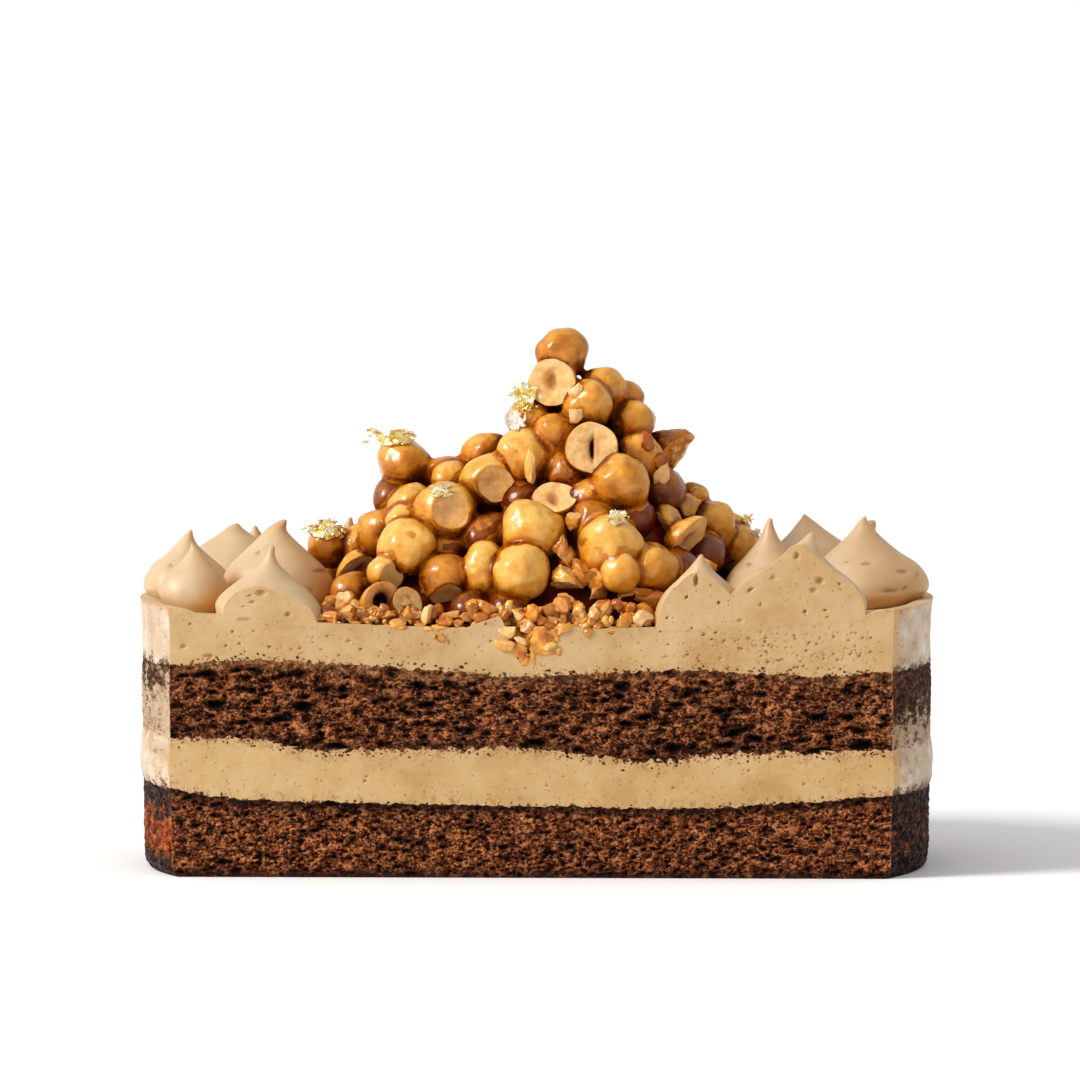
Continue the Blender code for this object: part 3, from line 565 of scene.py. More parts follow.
def make_nut_skin():
    """Blanched hazelnut in caramel: golden flesh, amber where the caramel is thick, a wet coat, and painted
    shade that darkens it where other nuts close it in.
    """
    g = Graph("caramel_hazelnut", Roughness=0.32, IOR=1.46)
    shade, glazed, hole = g.field("shade"), g.field("glazed"), g.field("hole")
    # painted shade: the tone darkens where the nut is closed in
    tone = g.noise(5.0, warp=0.4) * 0.50 + g.field("tone") * 0.55 + shade * 0.22
    g.colour = tone.ramp((0.30, (230, 182, 98)), (0.44, (214, 152, 56)), (0.58, (186, 115, 22)),
                         (0.76, (120, 59, 6)))
    g.paint(g.noise(1.1, 3.0, 0.65).fade(0.58, 0.74, 0.0, 0.28), (176, 104, 34))
    film = g.field("film") + (g.noise(2.6, 2.0) - 0.5) * 0.5
    g.paint(film.ramp((0.20, 0.0), (0.62, 0.60), (1.0, 0.95)),
            film.ramp((0.3, (198, 114, 12)), (0.65, (158, 76, 2)), (0.95, (104, 42, 0))))
    # painted shade: dark red-brown in the creases between nuts
    g.paint(shade.ramp((0.28, 0.0), (0.58, 0.58), (0.90, 0.97)), (74, 24, 0))
    flesh = g.noise(1.8).ramp((0.3, (222, 174, 112)), (0.62, (240, 205, 150)))
    flesh = g.mix(glazed * 0.95, flesh, (210, 138, 42))
    soaked = g.noise(1.5, 4.0, 0.65).fade(0.46, 0.60, 0.0, 0.85)
    flesh = g.mix(soaked * glazed * glazed * glazed, flesh, (166, 84, 14))
    g.paint(g.field("flesh").fade(0.35, 0.65), flesh)
    g.paint(hole * 1.5, hole.ramp((0.15, (196, 122, 66)), (0.9, (58, 24, 8))))
    g.set(Coat_Weight=shade.fade(0.05, 0.42, 0.72, 0.05), Coat_Roughness=0.07, Coat_IOR=1.42,
          Specular_IOR_Level=shade.fade(0.05, 0.42, 0.42, 0.03))
    g.soften(0.30, 1.6, (1.0, 0.46, 0.14))
    return g.done(g.noise(3.4) + g.noise(0.9, 2.0) * 0.15, 0.65, 0.7)


def make_caramel():
    """Thick dark caramel between the nuts."""
    g = Graph("dark_caramel", Roughness=0.22, Specular_IOR_Level=0.05, IOR=1.47, Coat_Weight=0.20,
              Coat_Roughness=0.05, Coat_IOR=1.4)
    g.colour = g.noise(7.0, 2.0).ramp((0.3, (58, 14, 2)), (0.55, (104, 36, 4)), (0.8, (156, 74, 10)))
    g.soften(0.3, 2.0, (1.0, 0.3, 0.05))
    return g.done(g.noise(3.0), 0.9, 0.7)


def make_amber():
    """Clear caramel in drops."""
    g = Graph("amber_caramel", Roughness=0.16, Specular_IOR_Level=0.6, IOR=1.47, Coat_Weight=0.8,
              Coat_Roughness=0.04, Coat_IOR=1.45)
    g.colour = g.noise(2.6).ramp((0.34, (176, 92, 14)), (0.52, (220, 142, 34)), (0.70, (238, 182, 84)))
    g.soften(0.6, 2.4, (1.0, 0.5, 0.08))
    return g.done(g.noise(1.6), 0.6, 0.8)


def make_gold():
    """Crumpled leaf, whitish where its field says so."""
    g = Graph("gold_leaf", Roughness=0.30)
    g.colour = g.noise(1.8).ramp((0.36, (226, 176, 84)), (0.5, (250, 224, 150)), (0.64, (255, 250, 228)))
    g.paint(g.field("pale"), (252, 248, 236))
    g.set(Metallic=g.field("pale").fade(0.0, 1.0, 1.0, 0.4))
    return g.done(g.noise(1.2, 4.0, 0.7), 0.30, 0.8)


CUT_MOUSSE = make_cut_mousse("cut_mousse", (204, 175, 134), (196, 165, 120), (186, 150, 102), 0.03)
SOFT_MOUSSE = make_cut_mousse("middle_cut_mousse", (205, 175, 130), (197, 164, 116), (187, 150, 100), 0.15)
PIPED_MOUSSE = make_piped_mousse()
WALL_MOUSSE = make_wall_mousse("wall_mousse", 0.0)
RIM_MOUSSE = make_wall_mousse("wall_mousse_top", 0.85)
UPPER_CRUMB = make_upper_crumb()
LOWER_CRUMB = make_lower_crumb()
LOOSE_CRUMB = make_loose_crumb()
CRUST = make_crust()
SMEARED_WALL = make_smeared_wall()
NUT_SKIN = make_nut_skin()
CARAMEL = make_caramel()
AMBER = make_amber()
GOLD = make_gold()


# Layers

def cake_top(x, y):
    """Height of the top mousse's surface, without the notch."""
    away = math.hypot(x, y)
    bowl = BOWL_RISE * (min(away, BOWL_RADIUS) / BOWL_RADIUS) ** 2
    return TOP_CENTRE_HEIGHT + bowl + LIP_RISE * float(smoothstep(LIP_FOOT_RADIUS, LIP_CREST_RADIUS, away))


def notch(x):
    aside = x - NOTCH_X + soft_noise(x / 2.2, 5.0, 0.0)
    share = max(0.0, 1.0 - abs(aside) / (NOTCH_LEFT if aside < 0.0 else NOTCH_RIGHT))
    return NOTCH_DEPTH * share ** 1.2


def lip(x):
    """Mousse that the knife pushed up on the left of the notch, and the small waves of the edge."""
    rise = LIP_LEFT_RISE * float(smoothstep(-18.0, -8.5, x)) * (1.0 - float(smoothstep(-7.4, -5.4, x)))
    rise += LIP_RIGHT_RISE * float(smoothstep(5.0, 8.0, x)) * (1.0 - float(smoothstep(9.0, 14.0, x)))
    waves = 0.45 * soft_noise(x / 5.0, 2.0, 7.0) + 0.28 * soft_noise(x / 1.3, 4.0, 7.0)
    return rise + waves * (1.0 - float(smoothstep(30.0, 36.0, abs(x + 10.0))))


def boundary(points, flat, rag):
    """A layer boundary: wavy and ragged at the outline, flat inside."""
    def height(x, y, scale):
        share = max(0.0, (scale - BODY_SCALE) / (1.0 - BODY_SCALE))
        coarse, fine, torn = (soft_noise(x / size, y / size, flat) for size in RAG_SIZES)
        edge = soft_along(points, x) + rag * (0.8 * coarse + 0.8 * fine + 0.7 * torn)
        return flat + (edge - flat) * share
    return height


def base_height(x, y, scale):
    return 0.0


def top_height(x, y, scale):
    bite = notch(x) * (1.0 - float(smoothstep(0.0, NOTCH_REACH, CUT_DISTANCE + y)))
    return cake_top(x, y) - bite + lip(x) * (1.0 - float(smoothstep(*LIP_REACH, CUT_DISTANCE + y)))


def outline(cut_step, wall_step):
    """Points round the cake from the cut's right end, and whether each lies inside the cut face."""
    corner = math.asin(CUT_DISTANCE / CAKE_RADIUS)
    sweep = math.pi + 2.0 * corner
    arc_steps = int(sweep * CAKE_RADIUS / wall_step)
    points = []
    for step in range(arc_steps + 1):
        angle = -corner + sweep * step / arc_steps
        points.append((CAKE_RADIUS * math.cos(angle), CAKE_RADIUS * math.sin(angle), False))
    half_cut = CAKE_RADIUS * math.cos(corner)
    cut_steps = int(2.0 * half_cut / cut_step)
    for step in range(1, cut_steps):
        points.append((-half_cut + 2.0 * half_cut * step / cut_steps, -CUT_DISTANCE, True))
    return points


def pores_at(points, size, widest, seed):
    """How deep each point lies in a pore: bubbles of many sizes at random places, torn out of round."""
    place = np.asarray(points, dtype=float) / np.asarray(size, dtype=float) + seed * 1.37
    place = place + 0.28 * np.stack([noise_at(place, 0.9, seed + 1.0), noise_at(place, 0.9, seed + 2.0),
                                     noise_at(place, 0.9, seed + 3.0)], axis=1)
    cell = np.floor(place).astype(np.int64)
    deepest = np.zeros(len(place))
    for step in np.ndindex(3, 3, 3):
        here = cell + np.array(step) - 1
        apart = np.linalg.norm(here + thirds(scrambled(here, 2)) - place, axis=1)
        reach = widest * thirds(scrambled(here, 5))[:, 0]
        deepest = np.maximum(deepest, reach - apart)
    return deepest


def deepest_pore(points, *kinds):
    """Depth of pores of several kinds: the depth, size, greatest width and seed of each."""
    return np.maximum.reduce([deep * pores_at(points, *kind) for deep, *kind in kinds])


def coarse_crumb(points):
    """How deep each point of the upper sponge's cut lies: pores between strands of crumb, whose depth also
    sets their painted shade.
    """
    deep = deepest_pore(points, (4.6, (5.8, 3.6, 2.3), 0.72, 3.1), (3.2, (2.8, 2.0, 1.35), 0.80, 8.3),
                        (1.9, (1.3, 1.1, 0.85), 0.85, 5.7))
    depth = np.minimum(deep, 2.8) + 0.35 * grains_at(points, 1.1, 2.0) + 0.34 * noise_at(points, 0.85, 9.0)
    depth += 0.40 * noise_at(points, 3.0, 21.0)
    return depth, np.clip(depth / 3.2, 0.0, 1.0)


def fine_crumb(points):
    """The lower sponge's cut: a finer, denser crumb, whose pore depth also sets its painted shade."""
    deep = deepest_pore(points, (2.6, (3.2, 2.6, 1.4), 0.68, 13.1), (2.0, (1.7, 1.4, 1.0), 0.80, 18.3),
                        (1.4, (0.95, 0.95, 0.8), 0.85, 15.7))
    depth = np.minimum(deep, 1.8) + 0.3 * grains_at(points, 0.95, 12.0) + 0.30 * noise_at(points, 0.75, 19.0)
    return depth, np.clip(depth / 2.0, 0.0, 1.0)


def crusty_wall(points):
    return 0.5 * grains_at(points, 1.3, 4.0) + 0.3 * noise_at(points, 0.9, 6.0) - 0.15


def smooth_wall(points):
    return 0.22 * noise_at(points, (7.0, 7.0, 5.0), 2.0) + 0.05 * noise_at(points, (1.6, 1.6, 5.0), 3.0)


# Bubbles in the cut mousse: pixel column and row, width and height in pixels
SHOWN_BUBBLES = [
    (260.7, 593.8, 11, 7), (249.6, 596.3, 4, 3), (252, 602.8, 6, 4), (244.4, 620.2, 16, 4),
    (287.8, 615, 6, 6), (232.4, 632.5, 4, 3), (184, 647.4, 7, 5), (207.9, 657, 11, 4), (225.7, 646.4, 3, 3),
    (239, 644.5, 3, 3), (269, 647.4, 4, 3), (327.6, 636.5, 5, 3), (348.7, 641.7, 6, 4),
    (321.3, 650.3, 5, 3), (360.5, 649.7, 4, 3), (388.3, 646.4, 5, 3), (718.6, 602.2, 4, 4),
    (760.4, 603.9, 3, 3), (740, 620.2, 6, 4), (667, 617.6, 3, 3), (686.5, 596.7, 4, 4), (749.2, 638, 6, 4),
    (765, 641, 4, 3), (794.5, 634.9, 5, 3), (849, 640, 6, 3), (804.9, 611, 4, 4), (825.3, 609.4, 4, 3),
    (703.7, 634.5, 4, 3), (716, 632.2, 4, 3), (692, 628, 3, 3), (796.5, 555, 6, 8), (773, 577, 6, 5),
    (820, 580, 9, 8), (813.5, 589.5, 8, 6), (750.5, 589, 4, 6), (696, 580, 5, 12), (841.5, 589, 3, 3),
    (839, 583, 3, 3),
]
# Bubbles too small to place one by one: how many, how their x is drawn, and the lowest and highest place
BUBBLE_RUNS = [(310, random.Random.gauss, (66.0, 17.0), (53.0, 63.0)),
               (100, random.Random.uniform, (-90.0, 90.0), (53.0, 66.0)),
               (20, random.Random.uniform, (-80.0, 84.0), (66.0, 82.0)),
               (90, random.Random.uniform, (-90.0, 90.0), (20.0, 34.0))]
BUBBLE_SEED = 5
BUBBLE_RADIUS = (0.14, 0.36)
FINE_BUBBLE = 0.36  # half widths up to which a bubble shows as a pin hole, and as a small dark one
SMALL_BUBBLE = 0.62


def cut_place(column, row):
    """Where a pixel of the cut face lies: x and z."""
    across = (column - PHOTO_CENTRE_X) / PHOTO_SCALE
    x = (across + CUT_DISTANCE * math.sin(VIEW_AZIMUTH)) / math.cos(VIEW_AZIMUTH)
    return x, (PHOTO_BASE_Y - row) / PHOTO_SCALE / math.cos(VIEW_ELEVATION)


def all_bubbles():
    """Centre x and z, half width and half height of each bubble."""
    found = []
    for column, row, width, height in SHOWN_BUBBLES:
        found.append((*cut_place(column, row), width / 2.0 / PHOTO_SCALE, height / 2.0 / PHOTO_SCALE))
    draw = random.Random(BUBBLE_SEED)
    for count, drawn, across, up in BUBBLE_RUNS:
        for _ in range(count):
            x, z = drawn(draw, *across), draw.uniform(*up)
            size = BUBBLE_RADIUS[0] + (BUBBLE_RADIUS[1] - BUBBLE_RADIUS[0]) * draw.random() ** 3
            found.append((x, z, size * draw.uniform(1.0, 1.5), size))
    return found


BUBBLES = all_bubbles()


def bubble_pits(x, z):
    """Depth of the bubbles at each point of the cut face, and how far into a bubble it is as painted shade, 0
    to 1.
    """
    depth, pit = np.zeros((2, len(x)))
    for centre_x, centre_z, half_width, half_height in BUBBLES:
        near = np.nonzero(np.abs(x - centre_x) < half_width * 1.3)[0]
        away = np.hypot((x[near] - centre_x) / half_width, (z[near] - centre_z) / half_height)
        bowl = np.sqrt(np.clip(1.0 - away * away, 0.0, 1.0))
        deep = (1.3 if half_width < SMALL_BUBBLE else 0.8) * half_height
        depth[near] = np.maximum(depth[near], deep * bowl)
        # how much painted shade each size of bubble gets
        dark = 0.62 if half_width < FINE_BUBBLE else 0.95 if half_width < SMALL_BUBBLE else 0.45
        pit[near] = np.maximum(pit[near], bowl * dark)
    return depth, pit


def cut_mousse_relief(points):
    depth, pit = bubble_pits(points[:, 0], points[:, 2])
    drag = 0.10 * noise_at(points, (14.0, 9.0, 6.0), 1.0) + 0.05 * noise_at(points, (2.4, 2.4, 2.0), 2.0)
    return depth + drag, pit


EDGE_BAND = (0.3, 3.6)  # a layer's edge fields fade between these distances from its upper or lower edge
CORNER_CALM = 2.5  # the relief fades out over this distance from the corners of the cut
EDGE_CALM = 1.1


def make_layer(name, node, bottom, top, bulge, steps, cut_relief, wall_relief, materials, inner):
    """A closed layer with a fine cut face and side. Bulge gives the side's offset at shares of its height."""
    cut_step, wall_step, row_step = steps
    xs, ys, in_cut = (np.array(values) for values in zip(*outline(cut_step, wall_step)))
    low = np.array([bottom(x, y, 1.0) for x, y in zip(xs, ys)])
    high = np.array([top(x, y, 1.0) for x, y in zip(xs, ys)])
    rows = int((high.mean() - low.mean()) / row_step)
    shares = np.linspace(0.0, 1.0, rows + 1)
    count = len(xs)
    z = low + (high - low) * shares[:, None]
    plain = np.stack(np.broadcast_arrays(xs, ys, z), axis=-1).reshape(-1, 3)
    on_cut = np.tile(in_cut, rows + 1)
    depth, pit = np.zeros((2, len(plain)))
    depth[on_cut], pit[on_cut] = cut_relief(plain[on_cut])
    depth[~on_cut] = wall_relief(plain[~on_cut])
    to_corner = np.minimum(np.hypot(xs - xs[0], ys - ys[0]), np.hypot(xs + xs[0], ys - ys[0]))
    calm = 0.25 + 0.75 * smoothstep(0.0, CORNER_CALM, to_corner)
    to_edge = np.minimum(high - z, z - low)
    inward = depth.reshape(z.shape) * calm * (0.12 + 0.88 * smoothstep(0.0, EDGE_CALM, to_edge))
    offsets = np.array([soft_along(bulge, share) for share in shares])[:, None]
    grow = (CAKE_RADIUS + offsets - inward) / CAKE_RADIUS
    squeeze = 1.0 + offsets / CAKE_RADIUS * smoothstep(80.0, 90.0, np.abs(xs))
    side = np.stack([np.where(in_cut, xs * squeeze, xs * grow),
                     np.where(in_cut, ys + inward, np.maximum(ys * grow, -CUT_DISTANCE)), z], axis=-1)
    points = [side.reshape(-1, 3)]
    after = (np.arange(count) + 1) % count
    faces = ring_faces(rows + 1, count)
    slots = np.tile(np.where(in_cut | in_cut[after], 0, 1), rows).tolist()
    first_ring = np.arange(count)
    for heights, scales, ring, turn in ((bottom, (0.95, BODY_SCALE), first_ring, -1),
                                        (top, inner, first_ring + rows * count, 1)):
        for scale in scales:
            previous, ring = ring, first_ring + count * (rows + len(points))
            height = np.array([heights(x * scale, y * scale, scale) for x, y in zip(xs, ys)])
            points.append(np.stack([xs * scale, ys * scale, height], axis=1))
            quad = [previous, previous[after], ring[after], ring]
            faces.extend(np.stack(quad[::turn], axis=1).tolist())
        faces.append(ring[::turn].tolist())
    slots += [len(materials) - 1] * (len(faces) - len(slots))
    points = np.concatenate(points)
    spare = np.zeros(len(points) - len(plain))
    fields = {"pit": np.append(pit, spare), "crown": np.append(1.0 - smoothstep(*EDGE_BAND, high - z), spare),
              "foot": np.append(1.0 - smoothstep(*EDGE_BAND, z - low), spare),
              "rise": np.append(np.repeat(shares, count), spare)}
    fields["blush"] = 0.42 * smoothstep(20.0, -60.0, points[:, 0])
    fields["corner"] = smoothstep(7.5, 0.5, points[:, 1] + CUT_DISTANCE) * smoothstep(0.0, 50.0, points[:, 0])
    piece = new_piece(name, points, faces, materials, slots, fields, sharp=58)
    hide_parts(node)


LOWER_TOP = boundary(LOWER_SPONGE_TOP, FLAT_HEIGHTS["lower_sponge"], 0.5)
MIDDLE_TOP = boundary(MIDDLE_MOUSSE_TOP, FLAT_HEIGHTS["middle_mousse"], 1.05)
UPPER_TOP = boundary(UPPER_SPONGE_TOP, FLAT_HEIGHTS["upper_sponge"], 0.75)
TOP_RINGS = (0.995, 0.985, 0.97, 0.955, 0.935, 0.91, 0.88, 0.80, 0.70, 0.58, 0.45, 0.30, 0.15)


def make_layers():
    """The four layers. Each has its steps along the cut, round the side and upwards in millimetres."""
    make_layer("lower_sponge_crumb", "lower_sponge", base_height, LOWER_TOP,
               [(0.0, -1.7), (0.03, -1.0), (0.08, -0.5), (0.2, -0.2), (0.6, -0.1), (1.0, 0.0)],
               (0.36, 1.0, 0.36), fine_crumb, crusty_wall, [LOWER_CRUMB, CRUST, CRUST],
               (BODY_SCALE,))
    make_layer("middle_mousse_layer", "middle_mousse", LOWER_TOP, MIDDLE_TOP,
               [(0.0, 0.1), (0.25, 0.7), (0.6, 0.8), (1.0, 0.2)], (0.34, 0.9, 0.34), cut_mousse_relief,
               smooth_wall, [SOFT_MOUSSE, WALL_MOUSSE, SOFT_MOUSSE], (BODY_SCALE,))
    make_layer("upper_sponge_crumb", "upper_sponge", MIDDLE_TOP, UPPER_TOP,
               [(0.0, 0.2), (0.35, 0.3), (0.7, 0.4), (1.0, 0.2)], (0.36, 1.0, 0.36), coarse_crumb,
               crusty_wall, [UPPER_CRUMB, SMEARED_WALL, UPPER_CRUMB], (BODY_SCALE,))
    make_layer("top_mousse_layer", "top_mousse", UPPER_TOP, top_height,
               [(0.0, 0.2), (0.5, 0.3), (0.85, 0.6), (1.0, 0.9)], (0.30, 0.9, 0.30), cut_mousse_relief,
               smooth_wall, [CUT_MOUSSE, RIM_MOUSSE, PIPED_MOUSSE], TOP_RINGS)


# Crumbs in the mousse: boundary, how many, how far they spread in millimetres, and up or down
SPECK_SEED = 77
SPECK_RUNS = [(LOWER_TOP, 170, 0.5, 1.0), (MIDDLE_TOP, 520, 1.0, -1.0), (UPPER_TOP, 320, 0.8, 1.0)]


def make_specks():
    """Crumbs that the knife dragged from the sponges into the mousse."""
    draw = random.Random(SPECK_SEED)
    ways, ball_faces = ball(1)
    members = []
    for height, count, spread, side in SPECK_RUNS:
        for _ in range(count):
            x = draw.uniform(-90.0, 90.0)
            z = height(x, -CUT_DISTANCE, 1.0) + side * (abs(draw.gauss(0.0, spread)) - 0.15)
            size = 0.13 + 0.36 * draw.random() ** 2
            stretch = np.array([draw.uniform(0.8, 1.5), 0.7, draw.uniform(0.7, 1.2)])
            points = ways * stretch * size * (1.0 + 0.3 * noise_at(ways, 0.7, draw.uniform(0, 90)))[:, None]
            points = points + (x, -CUT_DISTANCE + 0.25 * size, z)
            members.append((points, ball_faces, {}))
    piece = merged("loose_crumbs", members, [LOOSE_CRUMB])
    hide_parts("upper_sponge")


# Kisses

def all_kisses():
    kisses = list(SHOWN_KISSES)
    for name, ring, first, last, count, radius, height, full in BACK_RINGS:
        for index in range(count):
            angle = math.radians(first + (last - first) * index / (count - 1))
            place = (ring * math.cos(angle), ring * math.sin(angle))
            grow = 1.0 + 0.05 * math.sin(2.3 * index)
            shape = (radius * grow, height / grow, 0.6 * math.cos(index), 0.4, full)
            kisses.append((f"{name}_{index + 1}", *place, *shape))
    return kisses


def kiss_share(up, full):
    hollow = soft_along(HOLLOW_KISS, up)
    return max(0.0, hollow + (soft_along(FULL_KISS, up) - hollow) * full)


KISSES = all_kisses()
KISS_SEGMENTS = 64
KISS_ROWS = 46
SECTION_ROWS = 60
KISS_CROWN = (0.84, 0.98)  # the tip's field fades in between these shares of the height
DENT_DEPTH = 0.55
SECTION_STANDS = {"kiss_right_cut_small": 0.03}  # how far a kiss's section stands in front of the cut
USUAL_STAND = 0.02

# How far each tip curls to the right, at which share of the height the curl starts, and the tip's radius
HOOKS = {
    "kiss_left_front": (-0.7, 0.90, 0.45), "kiss_left_rim": (2.0, 0.78, 0.45),
    "kiss_left_inner": (2.6, 0.86, 1.25), "kiss_left_cut": (0.3, 0.85, 0.80),
    "kiss_left_back": (0.8, 0.93, 0.95), "kiss_left_far": (-0.5, 0.86, 0.5),
    "kiss_left_farthest": (0.4, 0.88, 0.5), "kiss_right_cut_small": (0.3, 0.86, 0.5),
    "kiss_right_cut_large": (-0.3, 0.85, 0.9), "kiss_right_inner": (0.3, 0.9, 0.6),
    "kiss_right_back": (-0.2, 0.9, 0.3), "kiss_right_rim": (0.5, 0.93, 0.4),
    "kiss_right_far": (1.3, 0.75, 1.5),
}
USUAL_HOOK = (0.6, 0.85, 0.6)

# Outlines of the cut kisses in the photograph, pixel columns and rows from left to right
CUT_OUTLINES = {
    "kiss_left_cut": [(222.7, 624), (222.7, 611.5), (224.6, 605.6), (229.7, 598.3), (238.5, 591.7),
        (248.8, 588), (259.1, 586.8), (267.9, 588.7), (278.1, 593.1), (285.5, 596.1), (295.7, 601.2),
        (304.5, 605.6), (310.4, 610), (314.1, 617.3), (317.5, 626)],
    "kiss_right_cut_small": [(650.5, 641), (656.3, 626.3), (659.1, 616.7), (661, 607.1), (666.8, 594.7),
        (678.3, 584.2), (688.8, 574.6), (697.4, 570.8), (706, 573.7), (716.5, 580.4), (724.2, 588),
        (730.5, 595), (732, 608), (732, 630)],
    "kiss_right_cut_large": [(728, 630), (728.5, 608), (730, 594.6), (736.6, 588), (747.1, 579.4),
        (758.6, 572.3), (770.1, 565.1), (781.6, 555.5), (789.2, 547.4), (795, 543.8), (801.7, 544),
        (808.4, 549.4), (817.9, 557.4), (829.4, 566), (840.9, 575.6), (852.4, 584.2), (860, 593.7),
        (863.9, 604.3), (865.5, 618)],
}
CUT_REACH = 7.0  # how far behind the cut the knife's drag shapes a kiss

# Small dents and cracks in the piped kisses: kiss, pixel column and row, width and height in pixels
DENTS = [
    ("kiss_left_inner", 256, 553, 5, 4), ("kiss_left_inner", 309, 590, 4, 2),
    ("kiss_left_inner", 318, 571, 16, 3), ("kiss_right_rim", 868, 564, 11, 3),
    ("kiss_right_rim", 892, 591, 18, 3), ("kiss_right_rim", 905, 572, 14, 2.5),
    ("kiss_right_rim", 908, 588, 9, 2), ("kiss_right_rim", 920, 575, 4, 5),
    ("kiss_right_inner", 750, 565, 7, 3), ("kiss_right_rim", 848, 562, 4, 2),
    ("kiss_left_rim", 167, 566, 4, 4), ("kiss_right_inner", 758, 553, 2, 2),
]


def photo_place(x, y, z):
    """Pixel column and row of each point."""
    across = x * math.cos(VIEW_AZIMUTH) + y * math.sin(VIEW_AZIMUTH)
    back = (y * math.cos(VIEW_AZIMUTH) - x * math.sin(VIEW_AZIMUTH)) + CUT_DISTANCE * math.cos(VIEW_AZIMUTH)
    up = z * math.cos(VIEW_ELEVATION) + back * math.sin(VIEW_ELEVATION)
    return PHOTO_CENTRE_X + across * PHOTO_SCALE, PHOTO_BASE_Y - up * PHOTO_SCALE


SHADE_REACH = 7.5


def closed_in(points, name):
    """How near each point of a kiss is to the next kiss or nut, 0 to 1; it sets the painted shade there."""
    nearest = np.full(len(points), 1e9)
    for other, x, y, radius, height, _, _, full in KISSES:
        if other == name:
            continue
        ups = (points[:, 2] - cake_top(x, y)) / height
        shares = np.array([straight_share(step / 20.0, full) for step in range(21)])
        reach = radius * np.interp(ups, np.linspace(0.0, 1.0, 21), shares)
        gap = np.hypot(points[:, 0] - x, points[:, 1] - y) - reach
        nearest = np.minimum(nearest, np.where(ups < 1.0, gap, 1e9))
    for _, place, radius, _, _, _ in OUTER_NUTS:
        nearest = np.minimum(nearest, np.linalg.norm(points - np.array(place[:]), axis=1) - radius)
    return 1.0 - smoothstep(-1.0, SHADE_REACH, nearest)


def make_kiss(kiss, index):
    name, x, y, radius, height, lean_x, lean_y, full = kiss
    turn = random.Random(index).uniform(0.0, 6.28)
    hook, start, blunt = HOOKS.get(name, USUAL_HOOK)
    is_cut = name in CUT_OUTLINES
    base = cake_top(x, y)
    levels = [1.0 - (1.0 - k / KISS_ROWS) ** 1.25 for k in range(KISS_ROWS)]
    points = []
    for up in levels:
        share = kiss_share(max(up, 0.12) if is_cut else up, full)
        into_tip = max(0.0, (up - 1.0) * height / blunt + 1.0)
        cap = blunt / radius * math.sqrt(1.0 - into_tip ** 2) * float(smoothstep(0.55, 0.95, up))
        share = math.hypot(share, cap)
        bend = up ** 3
        curl = hook * max(0.0, (up - start) / (1.0 - start)) ** 1.5
        for side in range(KISS_SEGMENTS):
            angle = 2.0 * math.pi * side / KISS_SEGMENTS
            swell = 1.0 + 0.020 * math.cos(2.0 * angle + turn)
            swell += 0.012 * math.sin(3.0 * angle + 4.0 * up + turn)
            swell += 0.05 * soft_noise(math.cos(angle) * 1.1 + index, math.sin(angle) * 1.1, up * 2.0)
            reach = radius * share * swell
            px = x + reach * math.cos(angle)
            py = y + reach * math.sin(angle)
            foot = cake_top(px, py) - 0.3
            points.append((px + (lean_x - hook) * bend + curl, py + lean_y * bend,
                           foot + (base + height - foot) * up))
    tip = len(points)
    last = tip - KISS_SEGMENTS
    faces = ring_faces(KISS_ROWS, KISS_SEGMENTS)
    faces += [(last + side, last + (side + 1) % KISS_SEGMENTS, tip) for side in range(KISS_SEGMENTS)]
    points = np.array(points + [(x + lean_x, y + lean_y, base + height)])
    # shade: how closed in each point is, for the painted shade between kisses and nuts
    shade = closed_in(points, name)
    for _, other_x, other_y, other_radius, *_ in KISSES:
        apart = math.hypot(other_x - x, other_y - y)
        if 0.0 < apart < radius + other_radius:
            reach = (apart * apart + radius * radius - other_radius * other_radius) / (2.0 * apart) + 0.35
            way = np.array([(other_x - x) / apart, (other_y - y) / apart])
            past = (points[:, :2] - (x, y)) @ way - reach
            points[:, :2] -= np.outer(np.clip(past, 0.0, None), way)
    ups = np.append(np.repeat(levels, KISS_SEGMENTS), 1.0)
    aside = (points[:, 0] - x) / np.maximum(np.hypot(points[:, 0] - x, points[:, 1] - y), 0.5)
    # painted shade at the foot, stronger on the side away from the light
    foot = (1.0 - smoothstep(0.0, 0.38, ups)) * (0.25 + 0.75 * smoothstep(-0.7, 0.2, aside))
    # painted shade on the side turned away from the light
    turned = smoothstep(-0.3, 0.9, aside)
    pit = np.zeros(len(points))
    for owner, column, row, width, tall in DENTS:
        if owner == name:
            columns, rows = photo_place(*points.T)
            away = ((columns - column) / (0.5 * width)) ** 2 + ((rows - row) / (0.5 * tall + 0.8)) ** 2
            dent = np.exp(-away) * (points[:, 1] < y)
            points[:, 1] += dent * DENT_DEPTH
            pit = np.maximum(pit, 0.55 * dent)
    if is_cut:
        piece = make_cut_kiss(name, points, faces, shade)
    else:
        faces.append(tuple(reversed(range(KISS_SEGMENTS))))
        fields = {"pit": pit, "foot": foot, "crown": smoothstep(*KISS_CROWN, ups), "shade": shade,
                  "turned": turned}
        piece = new_piece(name + "_piped", points, faces, [PIPED_MOUSSE], fields=fields)
    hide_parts(name)


